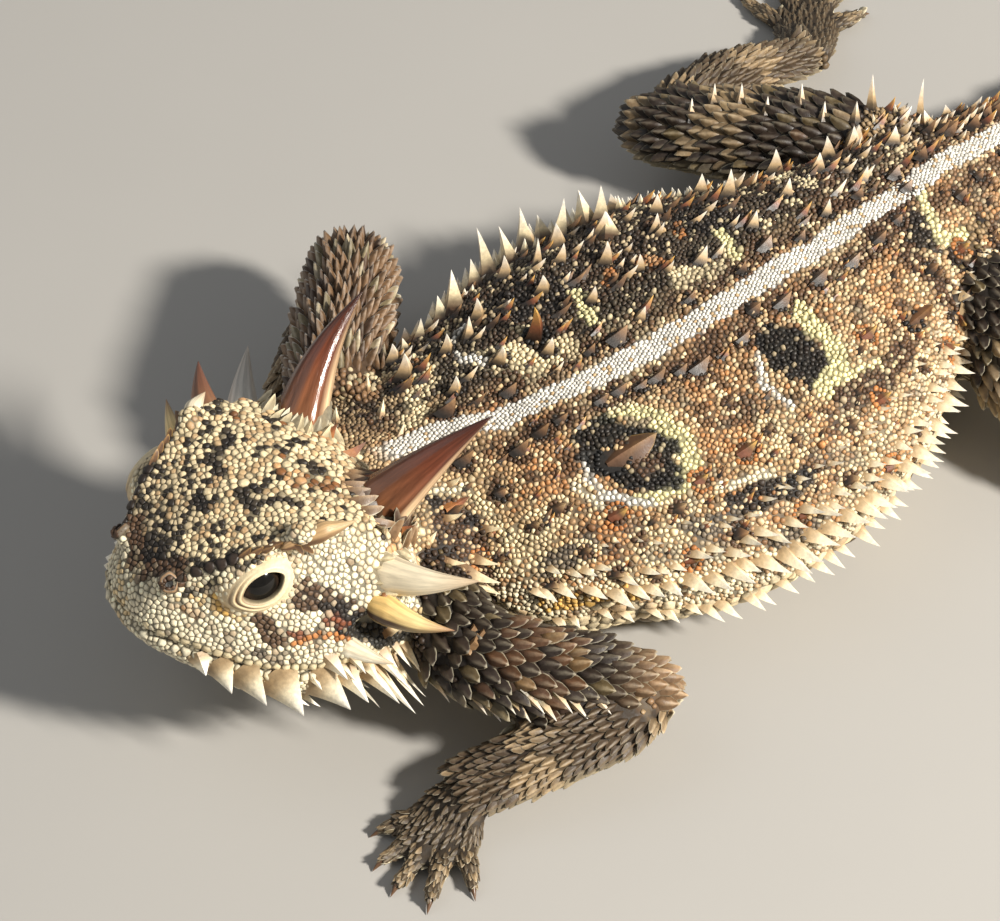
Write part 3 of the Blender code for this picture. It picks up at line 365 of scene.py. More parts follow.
# Each kind of back spine: shares of the list's length and half width, how far it stands, how far it leans.
SPINE_STANCES = {
    "bronze": (0.9, 0.62, 1.0, 0.1),
    "tan": (0.66, 0.80, 0.80, 0.75),
    "orange": (0.70, 0.66, 0.75, 0.80),
    "rosette": (0.62, 0.66, 0.85, 0.65),
    "ivory": (0.88, 0.88, 0.95, 0.35),
}
# Spines that the camera sees whole, by kind: pixel of the root, pixel of the tip and half width in mm.
JAW_SPINES = {
    "jaw": [
        (200, 658, 206, 676, 0.75), (220, 667, 232, 694, 1.1), (246, 676, 267, 706, 1.35),
        (280, 681, 304, 716, 1.55), (320, 680, 351, 710, 1.5), (345, 672, 369, 703, 0.8),
        (371, 668, 391, 694, 0.45), (389, 684, 416, 714, 0.5), (378, 655, 400, 680, 0.42),
        (402, 668, 426, 697, 0.42), (361, 690, 380, 708, 0.4), (340, 664, 356, 682, 0.36),
        (398, 648, 412, 668, 0.36), (312, 676, 322, 690, 0.34), (272, 674, 280, 686, 0.32),
        (330, 660, 348, 680, 0.6), (372, 676, 400, 704, 0.62), (390, 664, 413, 692, 0.6),
        (384, 650, 398, 668, 0.5), (366, 662, 380, 682, 0.5), (410, 656, 422, 674, 0.45),
        (352, 656, 366, 674, 0.5), (404, 680, 424, 706, 0.5),
    ],
}
ARM_SPINES = {
    "arm": [
        (428, 696, 446, 718, 0.55), (444, 700, 464, 716, 0.45), (484, 701, 496, 716, 0.45),
        (513, 702, 526, 717, 0.45), (540, 702, 552, 716, 0.45), (570, 700, 583, 714, 0.42),
        (598, 700, 611, 714, 0.42), (443, 694, 455, 710, 0.38), (470, 694, 482, 709, 0.38),
        (498, 694, 511, 709, 0.4), (526, 694, 540, 709, 0.4), (555, 693, 568, 708, 0.4),
    ],
    "ivory": [
        (712, 106, 715, 83, 0.45), (739, 106, 742, 83, 0.45), (800, 108, 802, 83, 0.45),
        (822, 122, 825, 101, 0.42), (855, 122, 857, 101, 0.42), (872, 100, 873, 74, 0.45),
        (922, 100, 924, 78, 0.42), (690, 118, 692, 98, 0.4), (765, 116, 768, 96, 0.4),
    ],
}
# Spines seen whole along the back's far edge and on the neck: as above.
EDGE_SPINES = {
    "fringe_far": [
        (481, 246, 475, 221, 0.6), (503, 240, 497, 221, 0.5), (522, 232, 519, 201, 0.72),
        (541, 231, 536, 211, 0.55), (560, 222, 565, 192, 0.66), (583, 210, 577, 185, 0.66),
        (600, 206, 601, 180, 0.66), (607, 236, 606, 208, 0.7), (440, 320, 437, 292, 0.6),
        (452, 296, 451, 264, 0.66), (474, 285, 470, 255, 0.55), (420, 332, 421, 315, 0.45),
        (430, 328, 428, 311, 0.5), (405, 352, 402, 336, 0.4),
    ],
    "ivory": [
        (467, 340, 469, 316, 0.6), (536, 268, 538, 238, 0.55),
    ],
    "neck": [
        (476, 644, 497, 660, 0.55), (468, 652, 482, 667, 0.4), (484, 634, 499, 646, 0.36),
        (474, 630, 488, 640, 0.36), (428, 545, 437, 531, 0.32),
    ],
    "skull": [(450, 508, 470, 496, 0.55)],
}


def unit(vectors):
    """Vectors at length 1."""
    return vectors / np.maximum(np.linalg.norm(vectors, axis=-1, keepdims=True), 1e-12)


def clamp(values):
    """Values held between 0 and 1."""
    return np.clip(values, 0, 1)


def bell(values):
    """A smooth bump: 1 at 0, and nearly 0 beyond 2."""
    return np.exp(-(values**2))


def full_turn(count):
    """Angles spread evenly round a full turn."""
    return np.arange(count) * 2 * math.pi / count


def circle(turns, side, over):
    """Directions at the angles, from side round through over."""
    return np.cos(turns)[:, None] * side + np.sin(turns)[:, None] * over


def tree_of(points):
    """The points as a tree that finds neighbours."""
    tree = KDTree(len(points))
    for i, point in enumerate(points.tolist()):
        tree.insert(point, i)
    tree.balance()
    return tree


def curve_through(rows, places):
    """Rows at real-valued places along the rows, on a Catmull-Rom curve."""
    rows = np.asarray(rows, float)
    last = len(rows) - 1
    places = np.clip(np.asarray(places, float), 0, last)
    i = np.minimum(places.astype(int), last - 1)
    t = (places - i)[..., None]
    a, b, c, d = rows[np.maximum(i - 1, 0)], rows[i], rows[i + 1], rows[np.minimum(i + 2, last)]
    return 0.5 * (2 * b + (c - a) * t + (2 * a - 5 * b + 4 * c - d) * t**2 + (3 * b - a - 3 * c + d) * t**3)


def waves(points, pitch, seed):
    """A smooth, seeded unevenness between about -1 and 1, with features of the given pitch in mm."""
    chance = np.random.default_rng(seed)
    total = np.zeros(len(points))
    for _ in range(9):
        way = unit(chance.normal(size=3)) * 2 * math.pi / (pitch * chance.uniform(0.7, 1.5))
        total += np.sin(points @ way + chance.uniform(0, 2 * math.pi))
    return total / 3.0


def head_turn():
    """The head's left, back and up directions, as columns."""
    level = math.cos(HEAD_PITCH)
    forward = np.array((math.sin(HEAD_YAW) * level, -math.cos(HEAD_YAW) * level, math.sin(HEAD_PITCH)))
    level_left = np.array((math.cos(HEAD_YAW), math.sin(HEAD_YAW), 0.0))
    level_up = np.cross(forward, level_left)
    left = level_left * math.cos(HEAD_ROLL) + level_up * math.sin(HEAD_ROLL)
    up = level_up * math.cos(HEAD_ROLL) - level_left * math.sin(HEAD_ROLL)
    return np.column_stack((left, -forward, up))


TURN = head_turn()


def on_head(points):
    """Head-frame points in the animal's frame."""
    return SNOUT_TIP + np.asarray(points, float) @ TURN.T


def in_head(points):
    """Points of the animal's frame as x, t and h of the head."""
    return (np.asarray(points) - SNOUT_TIP) @ TURN


def sided(point, side):
    """A head-frame point or direction, mirrored to the right where side is -1."""
    return np.array((point[0] * side, point[1], point[2]), float)


def head_spot(point, side):
    """A head-frame point in the animal's frame, mirrored to the right where side is -1."""
    return on_head(sided(point, side))


def nostril_way(side):
    """The direction that a nostril faces."""
    return unit(TURN @ sided(NOSTRIL_FACING, side))


def node_centre(node):
    """The middle of a CAD node's box, in mm."""
    low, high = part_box(node)
    return np.array((low + high) / 2) / MM


SHIFT = node_centre("eye_left") - on_head(EYE_AT)


def to_frame(points):
    """Points of the animal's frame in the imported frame, in metres, and never under the floor."""
    placed = (np.asarray(points, float) + SHIFT) * MM
    placed[:, 2] = np.maximum(placed[:, 2], 0.0)
    return placed


def mouth_line(t):
    """Height of the line of the mouth at a distance from the snout."""
    return -MOUTH_DIP * bell((t - MOUTH_DIP_AT) / MOUTH_DIP_REACH)


def head_row(t):
    """The head's row at a distance from the snout."""
    distances = [row[0] for row in HEAD_ROWS]
    return curve_through(HEAD_ROWS, np.interp(t, distances, range(len(HEAD_ROWS))))


def head_section(row, fold=12, top=8, under=14):
    """The whole outline of the head at a row: left lip, crown, right lip and round under the chin."""
    t, crown, brow_width, brow_height, lip, chin = row
    low = float(mouth_line(t))
    share = np.arange(fold) / fold
    across = lip + (brow_width - lip) * share**1.3 + 0.35 * np.sin(math.pi * share)
    cheek = np.column_stack((across, low + (brow_height - low) * share))
    arc = np.arange(top) / top * math.pi / 2
    roof = np.column_stack((brow_width * np.cos(arc), brow_height + (crown - brow_height) * np.sin(arc)))
    left = np.vstack((cheek, roof))
    right = left[::-1] * (-1, 1)
    arc = math.pi * np.arange(1, under) / under
    across = -lip * (1 + 0.08 * np.sin(2 * arc) ** 2) * np.cos(arc)
    jaw = np.column_stack((across, low - chin * np.sin(arc) ** 0.8))
    outline = np.vstack((left, [(0.0, crown)], right, jaw))
    return on_head(np.column_stack((outline[:, 0], np.full(len(outline), t), outline[:, 1])))


class Tube:
    """A smooth tube of oval sections; a row is x, y, z, half width, rise and, if it differs, drop."""

    def __init__(self, rows, squareness=1.0):
        self.rows = np.array([r if len(r) == 6 else (*r, r[4]) for r in rows], float)
        self.squareness = squareness
        self.last = len(rows) - 1

    def frames(self, places):
        """The rows at the places, and the directions along, to the side and up."""
        places = np.asarray(places, float)
        row = curve_through(self.rows, places)
        ahead, behind = (curve_through(self.rows, places + step)[:, :3] for step in (0.25, -0.25))
        along = unit(ahead - behind)
        side = unit(np.cross(along, UP))
        return row, along, side, np.cross(side, along)

    def surface(self, places, angles, grow=0.0):
        """Points on the surface; an angle runs from the side direction up over the top."""
        row, _, side, up = self.frames(places)
        across, tall = np.cos(angles), np.sin(angles)
        low = tall < 0
        across = np.where(low, np.sign(across) * np.abs(across) ** self.squareness, across)
        tall = np.where(low, -(np.abs(tall) ** self.squareness), tall)
        reach = np.where(low, row[:, 5], row[:, 4]) + grow
        points = row[:, :3] + side * ((row[:, 3] + grow) * across)[:, None] + up * (reach * tall)[:, None]
        points[:, 2] = np.maximum(points[:, 2], FLOOR)
        return points

    def grid(self, steps, sides):
        """Rings of surface points, with each point's place and angle."""
        places = np.repeat(np.linspace(0, self.last, self.last * steps + 1), sides)
        angles = np.tile(full_turn(sides), self.last * steps + 1)
        return self.surface(places, angles), places, angles


def paw_digits(name):
    """Root, direction and length of each digit of a hand or foot."""
    wrist, heading, length, half_width, digits = PAWS[name]
    turn = -1 if name in ("hand_left", "foot_right") else 1
    ahead = math.radians(heading)
    forward = np.array((math.cos(ahead), math.sin(ahead), 0.0))
    inner = np.array((math.sin(ahead), -math.cos(ahead), 0.0)) * -turn
    made = []
    for k, reach in enumerate(digits):
        spread = math.radians(DIGIT_FANS[name.split("_")[0]][k])
        root = np.array(wrist) + forward * length * (0.78 if k in (0, 4) else 0.95)
        root = root + inner * half_width * (0.8 - 0.4 * k)
        root[2] = DIGIT_HEIGHT
        made.append((root, unit(forward * math.cos(spread) + inner * math.sin(spread)), reach))
    return made


def all_tubes():
    """Every tube of the animal by name, digits as well."""
    tubes = {"body": Tube(BODY_ROWS, 0.8), "neck": Tube(NECK_ROWS)}
    tubes.update({name: Tube(rows) for name, rows in LIMB_ROWS.items()})
    for name, (wrist, heading, length, half_width, _) in PAWS.items():
        ahead = math.radians(heading)
        forward = np.array((math.cos(ahead), math.sin(ahead), 0.0))
        start = np.array(wrist)
        tubes[name] = Tube([
            (*(start - forward * 0.8), 1.6, 1.1),
            (*(start + forward * length * 0.2), 2.2, 1.3),
            (*(start + forward * length * 0.6 - UP * 0.85), half_width, 1.1),
            (*(start + forward * length * 0.95 - UP * 1.05), half_width * 0.9, 0.9),
            (*(start + forward * length * 1.1 - UP * 1.1), half_width * 0.6, 0.6),
        ], 0.8)
        for k, (root, along, reach) in enumerate(paw_digits(name)):
            thick = DIGIT_RADIUS
            tubes[f"{name}_digit_{k}"] = Tube([
                (*(root - along * 1.2), thick, thick),
                (*(root + along * reach * 0.35 + UP * 0.25), thick, thick * 0.95),
                (*(root + along * reach * 0.7), thick * 0.85, thick * 0.85),
                (*(root + along * reach), thick * 0.7, thick * 0.8),
                (*(root + along * (reach + 0.4) - UP * 0.1), 0.35, 0.4),
            ])
    return tubes


def stripe_middle(y):
    """How far to the left the back's pale stripe runs at y."""
    return np.interp(y, [p[1] for p in STRIPE], [p[0] for p in STRIPE])


class Camera:
    """The photograph's camera, in the animal's frame."""

    def __init__(self):
        side = np.array((math.cos(CAMERA_TURN), math.sin(CAMERA_TURN), 0.0))
        level = np.array((-math.sin(CAMERA_TURN), math.cos(CAMERA_TURN), 0.0))
        look = level * math.cos(CAMERA_TILT) - UP * math.sin(CAMERA_TILT)
        up = np.cross(side, look)
        self.focal = PIXELS_PER_MM * CAMERA_DISTANCE
        self.place = FIT_POINT - look * CAMERA_DISTANCE
        across = (PHOTO_SIZE[0] / 2 - FIT_PIXEL[0]) / self.focal
        down = (PHOTO_SIZE[1] / 2 - FIT_PIXEL[1]) / self.focal
        self.look = unit(look + side * across - up * down)
        self.up = unit(up - self.look * (up @ self.look))
        self.side = np.cross(self.look, self.up)

    def ray(self, pixel):
        """The direction in which the camera sees a pixel."""
        across = (pixel[0] - PHOTO_SIZE[0] / 2) / self.focal
        down = (pixel[1] - PHOTO_SIZE[1] / 2) / self.focal
        return unit(self.look + self.side * across - self.up * down)


CAMERA = Camera()


def deselect():
    """Clears the selection."""
    bpy.ops.object.select_all(action="DESELECT")


def link(name, data):
    """A new object for a mesh, a light or a camera, in the scene."""
    piece = bpy.data.objects.new(name, data)
    bpy.context.scene.collection.objects.link(piece)
    return piece


def choose(piece):
    """Makes the piece the only selected and the active object."""
    deselect()
    piece.select_set(True)
    bpy.context.view_layer.objects.active = piece


def set_tints(mesh, tints):
    """Stores a colour for each vertex."""
    layer = mesh.color_attributes.new("tint", "FLOAT_COLOR", "POINT")
    full = np.ones((len(tints), 4), np.float32)
    full[:, :3] = tints
    layer.data.foreach_set("color", full.ravel())


def set_patches(mesh, patches):
    """Stores the bake map from a place for each vertex."""
    corner = np.zeros(len(mesh.loops), np.int32)
    mesh.loops.foreach_get("vertex_index", corner)
    layer = mesh.uv_layers.new(name=BAKE_MAP)
    layer.data.foreach_set("uv", np.asarray(patches, np.float32)[corner].ravel())


def dress(piece, slot, finish, *nodes):
    """Rides the piece on the body, gives it its material, and hides the nodes that it stands for; slot is not
    used.
    """
    piece.data.materials.clear()
    piece.data.materials.append(finish)
    piece.data.shade_smooth()
    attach(piece, "root")
    if nodes:
        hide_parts(*nodes)


def rings_mesh(name, rings):
    """A closed mesh through rings of equal length, capped at both ends."""
    rings = np.asarray(rings)
    count, sides = rings.shape[:2]
    i, j = np.meshgrid(np.arange(count - 1), np.arange(sides), indexing="ij")
    a, b = i * sides + j, i * sides + (j + 1) % sides
    faces = np.stack((a, b, b + sides, a + sides), axis=-1).reshape(-1, 4).tolist()
    last = (count - 1) * sides
    faces += [tuple(reversed(range(sides))), tuple(range(last, last + sides))]
    mesh = bpy.data.meshes.new(name)
    mesh.from_pydata(rings.reshape(-1, 3).tolist(), [], faces)
    work = bmesh.new()
    work.from_mesh(mesh)
    bmesh.ops.recalc_face_normals(work, faces=work.faces[:])
    work.to_mesh(mesh)
    work.free()
    return mesh


def ball_mesh(name, centre, radii, axes):
    """An ellipsoid whose half sizes lie along the rows of axes."""
    work = bmesh.new()
    bmesh.ops.create_icosphere(work, subdivisions=3, radius=1.0)
    mesh = bpy.data.meshes.new(name)
    work.to_mesh(mesh)
    work.free()
    points = mesh_points(mesh) * np.asarray(radii)
    set_points(mesh, np.asarray(centre) + points @ np.asarray(axes))
    return mesh


def mesh_points(mesh):
    """A mesh's points as rows."""
    points = np.zeros(len(mesh.vertices) * 3)
    mesh.vertices.foreach_get("co", points)
    return points.reshape(-1, 3)


def set_points(mesh, points):
    """Moves a mesh's points."""
    mesh.vertices.foreach_set("co", np.asarray(points, np.float32).ravel())
    mesh.update()


def eye_axes(side):
    """The eye's long and short axes and its gaze, for the left or right eye."""
    gaze = unit(TURN @ sided(GAZE, side))
    back = TURN @ np.array((0.0, math.cos(LID_TILT), math.sin(LID_TILT)))
    long_axis = unit(back - gaze * (back @ gaze))
    short_axis = np.cross(gaze, long_axis)
    return long_axis, short_axis * np.sign(short_axis @ TURN[:, 2]), gaze


def in_eye(points, side):
    """Points as distances from the eye's centre along its long axis, short axis and gaze."""
    return (points - head_spot(EYE_AT, side)) @ np.column_stack(eye_axes(side))


def flesh_meshes(tubes):
    """The plain closed forms that the skin is drawn over."""
    meshes = []
    for tube in tubes.values():
        points, _, _ = tube.grid(4, 40)
        meshes.append(rings_mesh("flesh", points.reshape(-1, 40, 3)))
    rows = curve_through(HEAD_ROWS, np.linspace(0, len(HEAD_ROWS) - 1, 45))
    meshes.append(rings_mesh("flesh", [head_section(row) for row in rows]))
    for side in (1, -1):
        brow = map(head_row, (2.2, 4.2, 6.4, 8.6, 10.6, 12.4))
        ridge = [(*head_spot((row[2], row[0], row[3] - 0.2), side), 0.6, 0.55) for row in brow]
        meshes.append(rings_mesh("flesh", Tube(ridge).grid(4, 16)[0].reshape(-1, 16, 3)))
        meshes.append(ball_mesh("flesh", head_spot(EYE_AT, side), LID_MOUND, eye_axes(side)))
        meshes.append(ball_mesh("flesh", head_spot(NOSTRIL_AT, side), (0.95, 0.95, 0.75), TURN.T))
    for root, tip, radius, _, _ in HORNS.values():
        start, end = on_head(root), on_head(tip)
        along = unit(end - start)
        collar = 1.28 if radius > 1 else 1.02
        for centre, size in ((start, 1.0), (start + along * radius * 0.6, 0.86)):
            meshes.append(ball_mesh("flesh", centre, (radius * collar * size,) * 3, np.eye(3)))
    return meshes


def smooth_points(points, edges, weights, rounds):
    """Points eased towards the middle of their neighbours, each by its own weight."""
    count = len(points)
    degree = np.maximum(np.bincount(edges.ravel(), minlength=count), 1)[:, None]
    for step in range(rounds):
        total = np.column_stack([
            np.bincount(edges[:, 0], weights=points[edges[:, 1], k], minlength=count)
            + np.bincount(edges[:, 1], weights=points[edges[:, 0], k], minlength=count)
            for k in range(3)
        ])
        strength = 0.5 if step % 2 == 0 else -0.48
        points = points + (total / degree - points) * weights[:, None] * strength
    return points


def vertex_normals(points, triangles):
    """Normals at the points, weighed by the triangles' areas."""
    corners = points[triangles]
    across = np.cross(corners[:, 1] - corners[:, 0], corners[:, 2] - corners[:, 0])
    normals = np.zeros_like(points)
    for k in range(3):
        for axis in range(3):
            normals[:, axis] += np.bincount(triangles[:, k], weights=across[:, axis], minlength=len(points))
    return unit(normals)


class Anatomy:
    """The animal's tubes, and for any point its tube, its place there and the lie of its scales."""

    def __init__(self):
        self.tubes = all_tubes()
        self.names = [*self.tubes, "head"]
        points, parts, places, angles = [], [], [], []
        for number, tube in enumerate(self.tubes.values()):
            surface, place, angle = tube.grid(3, 20)
            points.append(surface)
            parts.append(np.full(len(surface), number))
            places.append(place)
            angles.append(angle)
        for row in curve_through(HEAD_ROWS, np.linspace(0, len(HEAD_ROWS) - 1, 34)):
            surface = head_section(row, 6, 4, 8)
            points.append(surface)
            parts.append(np.full(len(surface), len(self.tubes)))
            places.append(np.full(len(surface), row[0]))
            angles.append(np.zeros(len(surface)))
        points = np.vstack(points)
        self.parts = np.concatenate(parts)
        self.places = np.concatenate(places)
        self.angles = np.concatenate(angles)
        self.tree = tree_of(points)

    def locate(self, points):
        """Part number, place and angle of each point."""
        found = np.array([self.tree.find(point)[1] for point in points])
        return self.parts[found], self.places[found], self.angles[found]

    def lie(self, parts, places):
        """The way that the scales point."""
        ways = np.tile(TURN[:, 1], (len(parts), 1))
        for number, tube in enumerate(self.tubes.values()):
            chosen = parts == number
            if chosen.any():
                ways[chosen] = tube.frames(places[chosen])[1]
        return ways

    def number(self, name):
        """The part number of a tube or of the head."""
        return self.names.index(name)

    def is_part(self, parts, *words):
        """Whether each part's name starts with one of the words."""
        return np.isin(parts, [i for i, name in enumerate(self.names) if name.startswith(words)])


class Skin:
    """The finished skin: its points and triangles in mm, with what is needed to set things on it."""

    def __init__(self, anatomy, step):
        self.anatomy = anatomy
        self.mesh = self.draw_over(flesh_meshes(anatomy.tubes), step)
        edges = np.zeros(len(self.mesh.edges) * 2, np.int32)
        self.mesh.edges.foreach_get("vertices", edges)
        edges = edges.reshape(-1, 2)
        points = mesh_points(self.mesh)
        self.parts, self.places, self.angles = anatomy.locate(points)
        weights = np.ones(len(points))
        weights[anatomy.is_part(self.parts, "hand", "foot")] = 0.35
        weights[self.parts == anatomy.number("head")] = 0.6
        points = smooth_points(points, edges, weights, 22)
        self.triangulate()
        points = self.carve(points)
        points = smooth_points(points, edges, weights, 2)
        set_points(self.mesh, points)
        self.unwrap()
        self.points = points
        self.normals = vertex_normals(points, self.triangles)
        self.tree = BVHTree.FromPolygons(points.tolist(), self.triangles.tolist())

    def draw_over(self, meshes, step):
        """One closed skin around all the forms, by a voxel remesh."""
        pieces = [link("flesh", mesh) for mesh in meshes]
        deselect()
        for piece in pieces:
            piece.select_set(True)
        bpy.context.view_layer.objects.active = pieces[0]
        bpy.ops.object.join()
        self.piece = bpy.context.view_layer.objects.active
        remesh = self.piece.modifiers.new("skin", "REMESH")
        remesh.mode = "VOXEL"
        remesh.voxel_size = step
        bpy.ops.object.modifier_apply(modifier=remesh.name)
        self.piece.name = "skin"
        return self.piece.data

    def triangulate(self):
        """Two triangles for each face, and the corners that they use."""
        corner = np.zeros(len(self.mesh.loops), np.int32)
        self.mesh.loops.foreach_get("vertex_index", corner)
        starts = np.zeros(len(self.mesh.polygons), np.int32)
        sizes = np.zeros(len(self.mesh.polygons), np.int32)
        self.mesh.polygons.foreach_get("loop_start", starts)
        self.mesh.polygons.foreach_get("loop_total", sizes)
        firsts = np.column_stack((starts, starts + 1, starts + 2))
        fours = starts[sizes == 4]
        seconds = np.column_stack((fours, fours + 2, fours + 3))
        self.triangle_corners = np.vstack((firsts, seconds))
        self.triangles = corner[self.triangle_corners]

    def unwrap(self):
        """A bake map of the skin's own shape."""
        choose(self.piece)
        bpy.ops.object.mode_set(mode="EDIT")
        bpy.ops.mesh.select_all(action="SELECT")
        bpy.ops.uv.smart_project(angle_limit=math.radians(75), island_margin=0.002)
        bpy.ops.object.mode_set(mode="OBJECT")
        self.mesh.uv_layers[0].name = BAKE_MAP
        self.uv = np.zeros(len(self.mesh.loops) * 2)
        self.mesh.uv_layers[0].uv.foreach_get("vector", self.uv)
        self.uv = self.uv.reshape(-1, 2)

    def carve(self, points):
        """Sinks the skin under its scales, and cuts the mouth, ears, hollows, sockets, nostrils and folds."""
        normals = vertex_normals(points, self.triangles)
        depth = np.full(len(points), BODY_SINK)
        head = self.parts == self.anatomy.number("head")
        depth[self.anatomy.is_part(self.parts, "hand", "foot")] = PAW_SINK
        local = in_head(points)
        x, t, h = local.T
        near_mouth = head & (t < MOUTH_CORNER) & (np.abs(h - mouth_line(t)) < 1.2)
        groove = 0.42 * bell((h - mouth_line(t)) / 0.22) * clamp((MOUTH_CORNER - t) / 1.5)
        depth += np.where(near_mouth, groove, 0)
        depth += self.fold_depth(points)
        for side in (1, -1):
            ear = local - sided(EAR_AT, side)
            reach = (ear[:, 1] / EAR_SIZE[0]) ** 2 + (ear[:, 2] / EAR_SIZE[1]) ** 2
            depth += np.where(x * side > 6, 1.2 * bell(reach), 0)
            for middle, deep, spread in HEAD_HOLLOWS:
                depth += deep * np.exp(-((local - sided(middle, side)) ** 2).sum(axis=1) / spread)
        points = points - normals * depth[:, None]
        for side in (1, -1):
            along, over, out = in_eye(points, side).T
            reach = (along / SOCKET_REACH[0]) ** 2 + (over / SOCKET_REACH[1]) ** 2
            pit = np.exp(-(reach**3)) * SOCKET_DEPTH
            sunk = (out > 0) & (out > pit) & (pit > 0.02 * SOCKET_DEPTH)
            points = points - eye_axes(side)[2] * np.where(sunk, pit, 0)[:, None]
            gap = points - head_spot(NOSTRIL_AT, side) - nostril_way(side) * 0.9
            hole = 0.8 * bell((gap**2).sum(axis=1) / 0.16)
            points = points - nostril_way(side) * hole[:, None]
        return points

    def fold_depth(self, points):
        """Wrinkles of the neck, a fold ahead of each shoulder, and the body's slow unevenness."""
        offset = points - FOLDS_AT
        flank = np.abs(offset[:, 0])
        near = bell(offset[:, 1] / 4.5) * clamp((flank - 3.0) / 3.0) * (flank < 14)
        curl = offset[:, 1] * 2.3 + flank * 0.55 + waves(points, 6.0, 11) * 1.2
        folds = 0.28 * near * (0.5 + 0.5 * np.sin(curl * 1.5)) ** 2
        trunk = self.anatomy.is_part(self.parts, "body", "neck")
        off = np.abs(points[:, 0] - stripe_middle(points[:, 1]))
        hollow = 0.45 * bell((off - 2.6) / 1.3) * (points[:, 2] > 10)
        uneven = 0.16 * waves(points, 7.0, 12) + 0.08 * waves(points, 2.6, 13)
        return np.where(trunk, folds + hollow * 0.6 + uneven, folds + 0.05 * waves(points, 2.4, 14))

    def settle(self, points):
        """The nearest places on the skin, with the normal and the bake map's place there."""
        places, faces = [], []
        for point in points:
            place, _, face, _ = self.tree.find_nearest(point)
            places.append(place)
            faces.append(face)
        return self.read(np.array(places), np.array(faces))

    def read(self, places, faces):
        """Places on known faces of the skin, with the normal and the bake map's place there."""
        a, b, c = (self.points[self.triangles[faces, k]] for k in range(3))
        whole = np.maximum(np.linalg.norm(np.cross(b - a, c - a), axis=1), 1e-9)
        share_a = np.linalg.norm(np.cross(b - places, c - places), axis=1) / whole
        share_b = np.linalg.norm(np.cross(c - places, a - places), axis=1) / whole
        shares = np.column_stack((share_a, share_b, clamp(1 - share_a - share_b)))
        normals = unit((self.normals[self.triangles[faces]] * shares[:, :, None]).sum(axis=1))
        maps = (self.uv[self.triangle_corners[faces]] * shares[:, :, None]).sum(axis=1)
        return places, normals, maps, faces

    def sample(self, count, chance):
        """Random places spread evenly over the skin."""
        corners = self.points[self.triangles]
        areas = np.linalg.norm(np.cross(corners[:, 1] - corners[:, 0], corners[:, 2] - corners[:, 0]), axis=1)
        first = self.triangles[:, 0]
        areas[~self.anatomy.is_part(self.parts[first], "head", "body", "neck")] *= 0.4
        areas[self.normals[first, 2] < -0.3] *= 0.4
        faces = chance.choice(len(areas), count, p=areas / areas.sum())
        first, second = chance.random(count), chance.random(count)
        over = first + second > 1
        first[over], second[over] = 1 - first[over], 1 - second[over]
        picked = corners[faces]
        places = picked[:, 0] + (picked[:, 1] - picked[:, 0]) * first[:, None]
        places = places + (picked[:, 2] - picked[:, 0]) * second[:, None]
        return self.read(places, faces)

    def seen(self, pixel, *words):
        """The place on the skin that the camera sees at a pixel, or None where it misses the named parts."""
        place, _, face, _ = self.tree.ray_cast(Vector(CAMERA.place), Vector(CAMERA.ray(pixel)))
        if place is None:
            return None
        part = self.anatomy.names[self.parts[self.triangles[face, 0]]]
        return np.array(place) if not words or part.startswith(words) else None


def stroke_distance(points, line):
    """Each point's distance from a line through the given places."""
    nearest = np.full(len(points), 1e9)
    for start, end in zip(line[:-1], line[1:]):
        span = end - start
        share = clamp(((points - start) @ span) / max(span @ span, 1e-9))
        nearest = np.minimum(nearest, np.linalg.norm(points - start - share[:, None] * span, axis=1))
    return nearest


def blend(colours, share, name):
    """The colours moved towards a named one, by a share for each."""
    share = clamp(np.asarray(share, float))
    share = share[:, None] if share.ndim else share
    return colours * (1 - share) + COLOURS[name] * share


# Colours of the marks that stay even, and clear of spines.
PLAIN_MARKS = ("black", "yellow", "white")


def layered(base, count, layers):
    """So many places in one named colour, with each layer's share of another colour laid over it in turn."""
    colours = np.tile(COLOURS[base], (count, 1))
    for share, name in layers:
        colours = blend(colours, share, name)
    return colours


